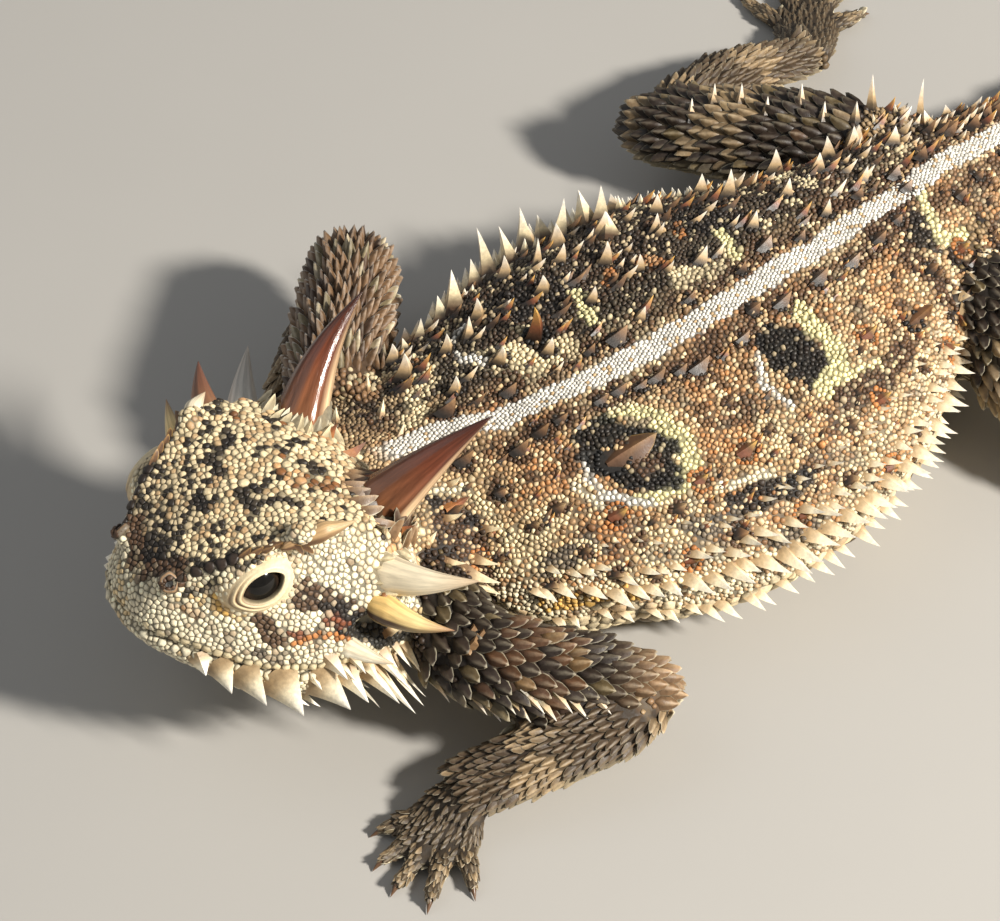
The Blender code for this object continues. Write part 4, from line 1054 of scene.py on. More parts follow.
class Markings:
    """The colour of the animal at any place: one pattern, shared by the skin and everything set on it."""

    def __init__(self, skin):
        self.skin = skin
        self.anatomy = skin.anatomy
        self.strokes = []
        for group, mirror in ((BACK_STROKES, self.mirror_back), (FACE_STROKES, self.mirror_head)):
            for name, (pixels, half, colour) in group.items():
                line = [skin.seen(pixel) for pixel in pixels]
                line = np.array([place for place in line if place is not None])
                if len(line) > 1:
                    self.strokes.append((line, half, colour))
                    if group is FACE_STROKES or name.startswith(("crescent_fore_edge", "flank", "mottle")):
                        self.strokes.append((mirror(line), half, colour))

    def is_clear(self, point, gap):
        """Whether a place keeps its distance from every crescent, spot and white line."""
        return all(stroke_distance(point[None], line)[0] >= half + gap
                   for line, half, colour in self.strokes if colour in PLAIN_MARKS)

    def mirror_back(self, line):
        """A line's like on the other side of the stripe."""
        other = line.copy()
        other[:, 0] = 2 * stripe_middle(line[:, 1]) - line[:, 0]
        return other

    def mirror_head(self, line):
        """A line's like on the other side of the head."""
        local = in_head(line)
        local[:, 0] *= -1
        return on_head(local)

    def back(self, points, normals, roll):
        """Tan and orange granules, dark beside the stripe, nearly black on the far side as painted shade, and
        cream below.
        """
        off = points[:, 0] - stripe_middle(points[:, 1])
        patch, grain, wide = waves(points, 7.0, 21), waves(points, 1.9, 22), waves(points, 4.2, 24)
        far = clamp((-off - 1.2) / 3.0)
        edge = clamp(1.15 - np.abs(normals[:, 2] - 0.1) * 1.7) * (np.abs(points[:, 1] - 3) < 27)
        low = clamp(0.2 - normals[:, 2] * 1.4) * clamp((7.5 - points[:, 2]) / 3)
        return layered("sand", len(points), (
            (0.75 * (roll < 0.30), "tan"),
            (0.7 * (roll > 0.64) * (patch > -0.2), "orange"),
            (0.40 * clamp(patch), "orange"),
            (0.55 * (patch < -0.7) * (roll > 0.25), "cream"),
            (0.80 * (roll > 0.77), "cream"),
            (0.75 * (grain + 0.5 * patch > 0.85) * (roll < 0.8), "brown"),
            (0.55 * (wide > 0.9) * (roll > 0.25), "grey"),
            (0.80 * bell((np.abs(off) - 2.3) / 1.2) * (roll < 0.85), "brown"),
            # Darkening the far side to nearly black is painted shade.
            (far * np.where(roll > 0.88, 0.30, 0.92), "dark"),
            (far * 0.8 * (wide > 0.75) * (roll > 0.25), "cream"),
            (far * 0.7 * (waves(points, 3.4, 25) > 1.15) * (roll > 0.3), "orange"),
            (edge * np.where(off > 0, 0.75, 0.25) * (roll > 0.25), "ivory"),
            (low, "cream"),
            (0.7 * low * (waves(points, 3.4, 23) > 0.8), "brown"),
        ))

    def head(self, points, normals, roll):
        """Cream cobbles with black ones scattered over the crown, painted shade in brown at the crown's
        front, and pale lips, jaw and throat.
        """
        x, t, h = in_head(points).T
        up = normals @ TURN[:, 2]
        grain, patch = waves(points, 2.2, 31), waves(points, 5.0, 32)
        crown = clamp((up - 0.35) / 0.2) * (h > 3)
        front = clamp((8.5 - t) / 6)
        spotted = (0.36 * grain + 0.22 * patch + 1.9 * (roll - 0.5) + 0.42 * front) > 0.62
        face = (1 - crown) * (h > -3.5)
        under = clamp(-up - 0.1) * (h < -0.5)
        return layered("sand", len(points), (
            (0.85 * (roll < 0.60), "cream"),
            (0.5 * (roll > 0.86), "tan"),
            (crown * 0.96 * spotted * (t < 15.5), "black"),
            # The brown at the crown's front is painted shade.
            (crown * 0.45 * front * (x < 1) * (1 - spotted), "brown"),
            (crown * 0.45 * (patch > 0.6) * (t > 11) * (roll > 0.5), "orange"),
            (face * 0.85, "ivory"),
            (face * 0.6 * (t > 9) * (h > 1), "ivory"),
            (face * 0.50 * (roll > 0.86) * (t > 2), "tan"),
            (face * 0.5 * (patch > 0.5) * (roll > 0.55) * (h < 4), "gold"),
            (face * 0.55 * (grain > 1.05) * (roll > 0.4), "brown"),
            (under, "ivory"),
            (0.6 * under * (patch > 0.9), "grey"),
        ))

    def limb(self, parts, points, normals, places, roll):
        """Dark keeled scales with pale bars, lighter towards the hand or foot, and cream below."""
        is_part = self.anatomy.is_part
        grain = waves(points, 2.6, 41)
        bars = np.sin(places * 3.4 + 0.8 * grain)
        middle = is_part(parts, "upper_arm_left") * (np.abs(places - 2.2) < 0.5) * (normals[:, 2] > 0.2)
        elbow = is_part(parts, "upper_arm_left") * clamp((places - 3.0) / 0.8)
        knuckle = is_part(parts, "hand_left_digit", "hand_right_digit", "foot_left_digit", "foot_right_digit")
        low = clamp(-normals[:, 2] * 1.5 - 0.1)
        return layered("brown", len(points), (
            # The dull brown of the forearms, shanks, hands and feet is darker than their own colour: partly
            # painted shade.
            (0.55 * is_part(parts, "forearm", "shank"), "khaki_and_shade"),
            (0.75 * is_part(parts, "hand", "foot"), "khaki_and_shade"),
            (0.88 * is_part(parts, "thigh", "upper_arm_left") * (roll < 0.85), "umber"),
            (0.55 * is_part(parts, "upper_arm_right") * (roll < 0.7), "tan"),
            (0.60 * is_part(parts, "upper_arm_right") * (roll > 0.8), "cream"),
            (0.6 * is_part(parts, "thigh", "upper_arm") * (roll > 0.88), "olive"),
            (0.50 * (bars > 0.55) * is_part(parts, "thigh", "shank", "forearm"), "sand"),
            (0.20 * middle * (roll > 0.4), "orange"),
            (0.85 * elbow, "tan"),
            (0.45 * knuckle * (roll > 0.5), "sand"),
            (0.85 * low, "cream"),
        ))

    def tail(self, points, normals, places, roll):
        """Tan scales with brown bands, and cream below."""
        bands = np.sin((places - TAIL_START) * 3.1 + 0.6 * waves(points, 3.0, 51))
        return layered("tan", len(points), (
            (0.6 * (roll < 0.4), "sand"),
            (0.75 * (bands > 0.35), "brown"),
            (0.4 * (roll > 0.85), "orange"),
            (clamp(-normals[:, 2] * 1.5), "cream"),
        ))

    def colours(self, points, normals, parts, places, roll):
        """The colour at each place; roll is each scale's own draw from 0 to 1."""
        made = self.back(points, normals, roll)
        head = parts == self.anatomy.number("head")
        body = self.anatomy.is_part(parts, "body")
        neck = self.anatomy.is_part(parts, "neck")
        tail = body & (places > TAIL_START)
        limb = ~(head | body | neck)
        made[head] = self.head(points[head], normals[head], roll[head])
        made[limb] = self.limb(parts[limb], points[limb], normals[limb], places[limb], roll[limb])
        made[tail] = self.tail(points[tail], normals[tail], places[tail], roll[tail])
        made[neck] = blend(made[neck], 0.45, "sand")
        made[neck] = blend(made[neck], 0.55 * (waves(points[neck], 1.6, 61) > 0.75), "brown")
        for line, half, colour in self.strokes:
            near = half * (1.0 + 0.22 * waves(points, 1.3, 71))
            share = clamp((near - stroke_distance(points, line)) / 0.12 + 0.5)
            flecks, left = (0.90, 0.6) if colour in PLAIN_MARKS else (0.74, 0.25)
            made = blend(made, share * np.where(roll > flecks, left, 0.97), colour)
        off = np.abs(points[:, 0] - stripe_middle(points[:, 1]) + 0.12 * waves(points, 1.4, 72))
        fade = clamp((60 - points[:, 1]) / 20) * clamp((points[:, 1] + 20.5) / 2)
        on_top = (body | neck) & (normals[:, 2] > 0.5)
        stripe = on_top * fade * clamp((0.92 - off) / 0.1 + 0.5)
        made = blend(made, stripe * np.where(roll > 0.88, 0.6, 0.97), "white")
        # The black round each ear pit is painted shade.
        for side in (1, -1):
            ear = (in_head(points) - sided(EAR_AT, side)) / (1.3, EAR_SIZE[0], EAR_SIZE[1])
            made = blend(made, head * bell((ear**2).sum(axis=1)), "black")
        return made


class Coat:
    """Gathers many small closed forms as one mesh, each coloured, and each a patch of the skin's unwrap."""

    def __init__(self):
        self.points, self.triangles, self.tints, self.patches = [], [], [], []
        self.count = 0

    def add(self, points, triangles, tints, place_on_map, across):
        """Adds one form; across gives each point's place within the form, in mm."""
        reach = max(np.abs(across).max(), 1e-6) * 2
        self.points.append(points)
        self.triangles.append(triangles + self.count)
        self.tints.append(tints)
        self.patches.append(place_on_map + across / reach * BAKE_PATCH)
        self.count += len(points)

    def piece(self, name):
        """The gathered forms as one object with its bake map and colours."""
        mesh = bpy.data.meshes.new(name)
        mesh.from_pydata(to_frame(np.vstack(self.points)).tolist(), [], np.vstack(self.triangles).tolist())
        set_patches(mesh, np.vstack(self.patches))
        set_tints(mesh, clamp(np.vstack(self.tints)))
        return link(name, mesh)


def lie_axes(ways, normals):
    """The lie, the sideways direction and the normal at each place."""
    along = unit(ways - normals * (ways * normals).sum(axis=-1, keepdims=True))
    return along, np.cross(normals, along), normals


def ring_triangles(rings, sides):
    """The triangles of a closed form: rings of points, then its top point, then its floor's point."""
    i, j = np.meshgrid(np.arange(rings - 1), np.arange(sides), indexing="ij")
    a = (i * sides + j).ravel()
    b = (i * sides + (j + 1) % sides).ravel()
    walls = np.vstack((np.column_stack((a, b, b + sides)), np.column_stack((a, b + sides, a + sides))))
    j = np.arange(sides)
    top, floor, last = rings * sides, rings * sides + 1, (rings - 1) * sides
    roof = np.column_stack((last + j, last + (j + 1) % sides, np.full(sides, top)))
    base = np.column_stack(((j + 1) % sides, j, np.full(sides, floor)))
    return np.vstack((walls, roof, base))


DOME_TRIANGLES = {(rings, sides): ring_triangles(rings, sides) for rings in (2, 3) for sides in range(3, 13)}


def clip_outline(outline, dx, dy, limit):
    """The part of a flat outline that lies within the limit along a direction."""
    made = []
    for (ax, ay), (bx, by) in zip(outline, outline[1:] + outline[:1]):
        a, b = ax * dx + ay * dy - limit, bx * dx + by * dy - limit
        if a <= 0:
            made.append((ax, ay))
        if (a < 0 < b) or (b < 0 < a):
            share = a / (a - b)
            made.append((ax + (bx - ax) * share, ay + (by - ay) * share))
    return made


# Rings of a domed scale from its foot up: share of its outline, lean towards its tip, share of its height
# above the foot, and shade: painted shade at the foot, painted highlight towards the top.
DOME_FOOT = -0.10
ROUGH_DOME = ((0.98, 0.66), (0.0, 0.45), (0.66,), (0.24, 0.96))
SMOOTH_DOME = ((0.97, 0.84, 0.42), (0.0, 0.0, 1.0), (0.62, 0.97), (0.20, 0.80, 1.06))
START_OUTLINE = [(math.cos(k * math.pi / 4 + 0.2), math.sin(k * math.pi / 4 + 0.2)) for k in range(8)]


class Scales:
    """Places for scales on the skin: those listed, then a seeded scatter that keeps its distance."""

    def __init__(self, skin, markings, settings):
        self.skin = skin
        self.markings = markings
        self.settings = settings
        self.set_points, self.set_spacing, self.set_tints, self.set_heights = [], [], [], []
        self.bare = []

    def place(self, points, spacing, colour=None, height=1.0):
        """Sets scales near the given points."""
        if not len(points):
            return
        points, _, _, _ = self.skin.settle(points)
        self.set_points += points.tolist()
        self.set_spacing += [spacing] * len(points)
        self.set_tints += [COLOURS[colour] if colour else None] * len(points)
        self.set_heights += [height] * len(points)

    def keep_bare(self, point, radius):
        """Keeps scattered scales off the skin round a point."""
        self.bare.append((np.array(point), radius))

    def spacing(self, points, normals, parts):
        """How far apart the scales are at each place; nothing where it is 0."""
        anatomy, sizes = self.skin.anatomy, self.settings
        back = sizes.back_scale / MM
        wanted = np.full(len(points), back)
        body = anatomy.is_part(parts, "body")
        wanted[body & (normals[:, 2] < -0.2)] = sizes.belly_scale / MM
        wanted[anatomy.is_part(parts, "neck")] = back * 0.92
        head = parts == anatomy.number("head")
        _, t, h = in_head(points).T
        face = sizes.face_scale / MM
        wanted[head] = face
        crown = head & (normals @ TURN[:, 2] > 0.45) & (h > 3)
        wanted[crown] = face * (1.02 + 0.38 * clamp((t[crown] - 6) / 9))
        wanted[head & (h < -2.5)] = face * 1.7
        wanted[anatomy.is_part(parts, "hand", "foot")] = back * 1.8
        limb = ~(body | head | anatomy.is_part(parts, "neck", "hand", "foot"))
        wanted[limb] = back * 1.2
        for point, radius in self.bare:
            wanted[((points - point) ** 2).sum(axis=1) < radius**2] = 0
        for side in (1, -1):
            along, over, out = in_eye(points, side).T
            reach_over = LID_OUTER[1] * np.where(over > 0, 0.80, 1.0)
            wanted[(along / LID_OUTER[0]) ** 2 + (over / reach_over) ** 2 + (out < 0) * 9 < 0.62] = 0
            ear = (in_head(points) - sided(EAR_AT, side)) / (2.0, EAR_SIZE[0] * 0.8, EAR_SIZE[1] * 0.8)
            wanted[(ear**2).sum(axis=1) < 1] = 0
        return wanted

    def scatter(self, chance):
        """Fills the skin with places, and keeps everything known about each."""
        spots, _, _, faces = self.skin.sample(self.settings.candidates, chance)
        first = self.skin.triangles[faces, 0]
        wanted = self.spacing(spots, self.skin.normals[first], self.skin.parts[first])
        spots, wanted = spots[wanted > 0], wanted[wanted > 0]
        wanted = wanted * chance.uniform(0.80, 1.20, len(wanted))
        wanted = wanted * np.where(chance.random(len(wanted)) < 0.05, 1.4, 1)
        fixed = len(self.set_points)
        points = np.vstack((np.array(self.set_points), spots))
        wanted = np.concatenate((self.set_spacing, wanted))
        tree = tree_of(points)
        gone = bytearray(len(points))
        reach = wanted.tolist()
        kept = []
        widest = float(wanted.max())
        for i, point in enumerate(points.tolist()):
            if gone[i]:
                continue
            kept.append(i)
            for _, j, apart in tree.find_range(point, 0.5 * (reach[i] + widest)):
                if j > i and j >= fixed and apart < 0.5 * (reach[i] + reach[j]):
                    gone[j] = 1
        kept = np.array(kept)
        self.fixed = fixed
        self.roots, self.normals, self.maps, faces = self.skin.settle(points[kept])
        self.sizes = wanted[kept]
        first = self.skin.triangles[faces, 0]
        self.parts, self.places = self.skin.parts[first], self.skin.places[first]
        self.roll = chance.random(len(kept))
        tints = self.markings.colours(self.roots, self.normals, self.parts, self.places, self.roll)
        tints *= chance.uniform(0.70, 1.22, (len(kept), 1))
        for i in range(fixed):
            if self.set_tints[i] is not None:
                tints[i] = self.set_tints[i] * chance.uniform(0.66, 1.14)
        self.tints = tints
        self.heights = np.concatenate((self.set_heights, np.ones(len(kept) - fixed)))
        self.axes = lie_axes(self.skin.anatomy.lie(self.parts, self.places), self.normals)

    def outline(self, i, tree):
        """The flat outline of a scale, bounded halfway to each neighbour."""
        size = self.sizes[i]
        outline = [(x * size * 0.84, y * size * 0.84) for x, y in START_OUTLINE]
        root, along, across = self.roots[i], self.axes[0][i], self.axes[1][i]
        for _, j, apart in tree.find_range(root, size * 1.9):
            if j == i or apart < 1e-6 or self.normals[i] @ self.normals[j] < 0:
                continue
            offset = self.roots[j] - root
            dx, dy = float(offset @ along), float(offset @ across)
            reach = math.hypot(dx, dy)
            if reach > 1e-6:
                limit = apart * size / (size + self.sizes[j])
                outline = clip_outline(outline, dx / reach, dy / reach, limit)
        return outline

    def build(self, coats, chance):
        """Domed, slightly keeled scales, sorted into the coats: painted shade at their feet darkens the
        joints between them, and a painted highlight lies at their tips.
        """
        tree = tree_of(self.roots)
        rough = self.parts != self.skin.anatomy.number("head")
        rough &= self.normals[:, 2] > -0.1
        keels = np.where(rough, 0.58, 0.10)
        raised = np.where(rough, 0.80, 0.32) * np.exp(chance.normal(0, 0.28, len(self.roots)))
        raised[self.skin.anatomy.is_part(self.parts, "neck")] *= 0.8
        for i in range(len(self.roots)):
            coat = coats(i)
            outline = self.outline(i, tree) if coat else []
            if len(outline) < 3:
                continue
            flat = np.array(outline[:12])
            centre = flat.mean(axis=0)
            spread = np.linalg.norm(flat - centre, axis=1).mean()
            flat = flat[np.linalg.norm(flat - np.roll(flat, 1, axis=0), axis=1) > 0.18 * spread]
            sides = len(flat)
            if sides < 3 or spread < 0.1 * self.sizes[i]:
                continue
            high = min(raised[i], 1.3) * spread * self.heights[i]
            tip = centre + (keels[i] * spread, 0)
            shares, leans, lifts, shades = ROUGH_DOME if rough[i] else SMOOTH_DOME
            rings = [
                centre + (tip - centre) * lean + (flat - centre) * part for part, lean in zip(shares, leans)
            ]
            across = np.vstack((*rings, [tip], [centre]))
            lifts = [DOME_FOOT, *(high * part for part in lifts)]
            lift = np.concatenate((np.repeat(lifts, sides), (high, -0.12)))
            # Painted shade at the foot and the floor point, painted highlight at the tip.
            shade = np.concatenate((np.repeat(shades, sides), (1.18, 0.3)))
            along, sideways, normal = (axis[i] for axis in self.axes)
            points = self.roots[i] + across[:, :1] * along + across[:, 1:] * sideways + lift[:, None] * normal
            triangles = DOME_TRIANGLES[len(shares), sides]
            coat.add(points, triangles, self.tints[i] * shade[:, None], self.maps[i], across - centre)


# A leaf scale in unit sizes: rows of place along it, width and height, and a half profile of across, fall and
# shade, which is painted light, brightest along the keel.
LEAF_ROWS = ((0.0, 0.62, 0.0), (0.28, 0.98, 0.34), (0.62, 0.80, 0.62), (0.86, 0.40, 0.82))
LEAF_PROFILE = ((-1, -0.55, 0.9), (-0.84, -0.40, 0.62), (-0.42, -0.06, 0.62), (0, 0.34, 1.15))


def leaf_form():
    """A keeled, pointed scale in unit sizes: points as along, across and height, triangles, and shades of
    painted light: painted shade towards the root and underneath, painted highlight along the keel and at the
    tip.
    """
    rows = LEAF_ROWS
    points, shades = [], []
    profile = LEAF_PROFILE + tuple((-across, fall, shade) for across, fall, shade in LEAF_PROFILE[2::-1])
    for along, width, height in rows:
        for across, fall, shade in profile:
            points.append((along, across * width, height + fall * (0.4 + 0.6 * width)))
            # Painted shade towards the root, lighter towards the tip.
            shades.append(shade * (0.50 + 0.6 * along))
    points.append((1.0, 0.0, 0.95))
    shades.append(1.7)
    for along, width, height in rows:
        points.append((along, 0.0, height - 0.75 * width))
        # The underside is painted shade.
        shades.append(0.3)
    triangles = []
    wide, last = len(profile), len(rows) - 1
    for i in range(last):
        for j in range(wide - 1):
            a = i * wide + j
            triangles += [(a, a + 1, a + wide + 1), (a, a + wide + 1, a + wide)]
    tip = len(rows) * wide
    under = tip + 1
    triangles += [(last * wide + j, last * wide + j + 1, tip) for j in range(wide - 1)]
    for i in range(last):
        left, right, low = i * wide, i * wide + wide - 1, under + i
        triangles += [(left, left + wide, low + 1), (left, low + 1, low)]
        triangles += [(right, low, low + 1), (right, low + 1, right + wide)]
    triangles += [(last * wide, tip, under + last), (last * wide + wide - 1, under + last, tip)]
    triangles += [(j, under, j + 1) for j in range(wide - 1)]
    return np.array(points), np.array(triangles), np.array(shades)


LEAF = leaf_form()


def add_leaves(coat, skin, roots, ways, lengths, widths, lifts, tints, chance, edge=None):
    """Lays overlapping leaf scales on the skin at the roots, pointing the given ways, with paler rims and
    each leaf's painted shade and highlight.
    """
    form, triangles, shades = LEAF
    roots, normals, maps, _ = skin.settle(roots)
    along, across, normal = lie_axes(ways, normals)
    edge = COLOURS["ivory"] if edge is None else edge
    along_at, wide_at, _ = zip(*LEAF_ROWS, (1.0, 0.01, 0.0))
    widths_at = np.interp(form[:, 0], along_at, wide_at)
    outer = np.abs(form[:, 1]) > widths_at * 0.95
    rim = np.where(outer & (form[:, 0] > 0.2), 0.9, 0.0)
    rim += (np.abs(form[:, 1]) < 0.05) * 0.22 * (form[:, 0] > 0.5)
    rim[-1 - len(LEAF_ROWS):] = (0.9, *(0 for _ in LEAF_ROWS))
    for i in range(len(roots)):
        twist = chance.uniform(-0.10, 0.10)
        way = along[i] * math.cos(twist) + across[i] * math.sin(twist)
        side = np.cross(normal[i], way)
        flat = form[:, :2] * (lengths[i], widths[i] / 2)
        height = form[:, 2] * lifts[i] - 0.06
        points = roots[i] + flat[:, :1] * way + flat[:, 1:] * side + height[:, None] * normal[i]
        pale = edge * (0.45 + 0.55 * min(tints[i].max() / 0.5, 1)) * chance.uniform(0.5, 1.1)
        # The leaf's colour times its painted shading, with the pale rim laid over it.
        tone = tints[i] * shades[:, None] * (1 - rim[:, None]) + pale * rim[:, None]
        coat.add(points, triangles, tone, maps[i], flat - (lengths[i] * 0.5, 0))


SPINE_SIDES = 8
BROAD_SPINE = 1.0
SHARP_EDGE = math.radians(36)
LONGEST_ARM_SPINE = 1.9
# Rings of a spine: share of its length, and share of its half width.
SPINE_RINGS = (
    (-0.22, 1.08), (0.0, 1.0), (0.18, 0.80), (0.38, 0.60), (0.60, 0.385), (0.80, 0.20), (0.94, 0.065),
)
SPINE_TRIANGLES = ring_triangles(len(SPINE_RINGS), SPINE_SIDES)


def add_spine(coat, skin, root, way, length, width, kind, flatness=1.0, bend=0.12, over=None):
    """Grows a curved, ridged spine out of the skin; flatness is its thickness over its width."""
    roots, normals, maps, _ = skin.settle([root])
    base, normal = roots[0], normals[0]
    way = unit(way)
    over = unit(normal if over is None else over)
    side = unit(np.cross(way, over))
    over = np.cross(side, way)
    turns = full_turn(SPINE_SIDES)
    ridge = 1.30 / (np.abs(np.cos(turns)) + np.abs(np.sin(turns))) * (1 + 0.10 * np.sin(turns))
    if width > BROAD_SPINE:
        ridge = 1.12 + 0.10 * np.cos(4 * turns)
    points, flats, shares = [], [], []
    sink = width * flatness * (1 - abs(way @ normal)) * 0.7
    for share, size in SPINE_RINGS:
        centre = base + way * length * share - over * bend * length * (1 - share) * share * 1.5
        centre = centre - normal * sink * (1 - max(share, 0)) ** 2
        across = np.cos(turns) * width * size
        tall = np.sin(turns) * width * size * flatness
        points.append(centre + (across * ridge / 1.15)[:, None] * side + (tall * ridge)[:, None] * over)
        flats.append(np.column_stack((np.full(SPINE_SIDES, length * (share - 0.4)), across)))
        shares += [share] * SPINE_SIDES
    points += [[base + way * length], [base - way * length * 0.22]]
    flats.append([(length * 0.6, 0), (-length * 0.6, 0)])
    shares = clamp(np.array(shares + [1.0, 0.0]))[:, None]
    low, middle, high = (COLOURS[name] for name in SPINE_KINDS[kind])
    rising = low + (middle - low) * clamp((shares - 0.10) / 0.35)
    tints = np.where(shares < 0.45, rising, middle + (high - middle) * (shares - 0.45) / 0.55)
    tints = tints * (0.60 + 0.45 * clamp(shares * 3))
    coat.add(np.vstack(points), SPINE_TRIANGLES, tints, maps[0], np.vstack(flats))


class Lizard:
    """What the operators share: the skin, its markings, and the coats as they grow."""

    anatomy = skin = markings = None
    leaf_roots, back_spines, seen_roots = [], [], []


def brow_places(distances, out, up):
    """Places along the brow at distances from the snout, moved outwards and up."""
    return [(head_row(t)[2] + out, t, head_row(t)[3] + up) for t in distances]


def head_places(rows, side):
    """Head-frame places in the animal's frame, mirrored to the right where side is -1."""
    return on_head(np.array([sided(row, side) for row in rows]))


def set_lip_scales(scales):
    """Rows of scales along the lips, the brow and the socket, and a ring of them round each nostril."""
    for side in (1, -1):
        for t in np.arange(1.2, MOUTH_CORNER, 0.56):
            lip, line = head_row(t)[4] + 0.1, float(mouth_line(t))
            scales.place(head_places([(lip, t, line + 0.36)], side), 0.52, "cream", 1.2)
            scales.place(head_places([(lip, t + 0.25, line - 0.40)], side), 0.55, "ivory", 1.1)
        brow = brow_places(np.arange(2.7, 5.6, 0.62), 0.36, 0.12)
        scales.place(head_places(brow, side), 0.68, "umber", 0.8)
        socket = brow_places(np.arange(3.4, 10.0, 0.55), 0.8, -0.9)
        scales.place(head_places(socket, side), 0.36, "cream", 0.9)
        out = nostril_way(side)
        flat = unit(np.cross(out, TURN[:, 1]))
        around = circle(full_turn(9), flat, np.cross(out, flat)) * 0.98
        scales.place(head_spot(NOSTRIL_AT, side) + out * 0.7 + around, 0.42, "brown", 1.0)


def big_horns():
    """The name, root, direction and root radius of each horn that has plates round its foot."""
    for name, (root, tip, radius, _, _) in HORNS.items():
        if radius > BIG_HORN:
            yield name, on_head(root), unit(on_head(tip) - on_head(root)), radius


def clear_horn_feet(scales):
    """Leaves the skin free where the long plates lie round each big horn."""
    for _, start, along, radius in big_horns():
        scales.keep_bare(start + along * radius * 0.4, radius * (1.6 if radius > LONGEST_HORN else 1.3))


def set_stripe_scales(scales, chance):
    """The pale beads of the stripe, in slanting, slightly uneven rows."""
    step = 0.32
    for row, y in enumerate(np.arange(-19.0, 52.0, step * 0.87)):
        width = 0.90 * float(np.clip((62 - y) / 22, 0.3, 1)) * float(np.clip((y + 21.5) / 4, 0.5, 1))
        beads = np.arange(-3, 4) * step + (step / 2 if row % 2 else 0)
        beads = beads[np.abs(beads) < width]
        x = stripe_middle(y) + beads + chance.uniform(-0.07, 0.07, len(beads))
        high = np.interp(y, [r[1] for r in BODY_ROWS], [r[2] + r[4] for r in BODY_ROWS])
        along = y + chance.uniform(-0.07, 0.07, len(x))
        beads = np.column_stack((x, along, np.full(len(x), high)))
        pale = chance.random(len(x)) > 0.08
        scales.place(beads[pale], step, "white", 0.8)
        scales.place(beads[~pale], step, "sand", 0.8)


# The two rings of small scales round each kind of raised spine.
ROSETTE_COLOURS = {
    "rosette": ("brown", "cream"),
    "orange": ("brown", "orange"),
    "tan": ("dark", "brown"),
    "ivory": ("dark", None),
}


def set_rosette(scales, root, normal, width, kind, chance):
    """Two rings of small scales round a raised spine, the outer one pale round most of them."""
    side = unit(np.cross(normal, (0.3, 0.9, 0.1)))
    over = np.cross(normal, side)
    inner, outer = ROSETTE_COLOURS.get(kind, ("black", None))
    for reach, spacing, colour in ((0.20, 0.30, inner), (0.46, 0.31, outer)):
        if colour is None:
            continue
        radius = width * 0.5 + reach
        count = int(2 * math.pi * radius / (spacing * 1.05))
        turns = (np.arange(count) + chance.uniform(-0.2, 0.2, count)) * 2 * math.pi / count
        ring = root + circle(turns, side, over) * (radius * chance.uniform(0.88, 1.12, count))[:, None]
        for place in ring[chance.random(count) > 0.12]:
            size = spacing * chance.uniform(0.9, 1.3)
            scales.place([place], size, colour if chance.random() > 0.2 else "sand", 1.0)
    scales.keep_bare(root, width * 0.45)


def chosen_back_spines(skin, markings, chance):
    """The back's raised spines that the camera sees, then a scatter that fills the rest of both sides."""
    found = []
    for u, v, length, width, kind in BACK_SPINES:
        root = skin.seen((u, v))
        if root is not None:
            found.append((root, length, width, kind))
    tube = skin.anatomy.tubes["body"]
    for _ in range(1500):
        place = chance.uniform(0.9, 9.4)
        angle = chance.uniform(0.15, math.pi - 0.15)
        root = tube.surface([place], np.array([angle]))[0]
        off = root[0] - stripe_middle(root[1])
        gap = 3.2 if abs(off) > 2.9 else 2.0
        if abs(off) < 1.7 or any(np.linalg.norm(root - other[0]) < gap for other in found):
            continue
        if not markings.is_clear(root, 0.9):
            continue
        size = chance.uniform(1.2, 2.2) if off < 0 else chance.uniform(0.8, 1.5)
        kind = "ivory" if off < 0 else ("rosette", "orange", "tan")[int(chance.integers(3))]
        if abs(off) < 3.2:
            kind = "tan"
        found.append((root, size, 0.42 + 0.28 * size, kind))
    return found


def grow_back_spines(coat, skin, spines, chance):
    """Grows each chosen spine of the back; a keel is one long leaf scale that lies along it."""
    for root, length, width, kind in spines:
        _, normals, _, faces = skin.settle([root])
        part = skin.triangles[faces, 0]
        along = skin.anatomy.lie(skin.parts[part], skin.places[part])[0]
        if kind == "keel":
            bronze = [0.7 * COLOURS["brown"] + 0.2 * COLOURS["orange"]]
            add_leaves(coat, skin, [root - along * length * 0.12], [along], [length * 1.15], [width * 1.4],
                       [width * 0.42], bronze, chance, 0.6 * COLOURS["gold"])
            continue
        longer, wider, stand, lean = SPINE_STANCES[kind]
        way = normals[0] * stand + along * lean * chance.uniform(0.85, 1.15)
        add_spine(coat, skin, root, way, length * longer, width * wider, kind, 0.8, 0.15)


# Rows of the fringe: first and last place along the body, count, angle up from the side, and shares of the
# longest spine's length and of its width. The last two lie on the tail.
FRINGE_ROWS = (
    (1.3, 7.7, 40, 0.12, 0.80, 0.78),
    (1.6, 7.1, 34, -0.20, 0.62, 0.66),
    (1.5, 7.5, 42, 0.32, 0.56, 0.66),
    (1.8, 7.2, 38, 0.54, 0.34, 0.50),
    (7.8, 14.9, 36, 0.15, 0.50, 0.46),
    (7.9, 12.0, 22, 0.55, 0.30, 0.38),
)
SHORTEST_FRINGE = 0.5


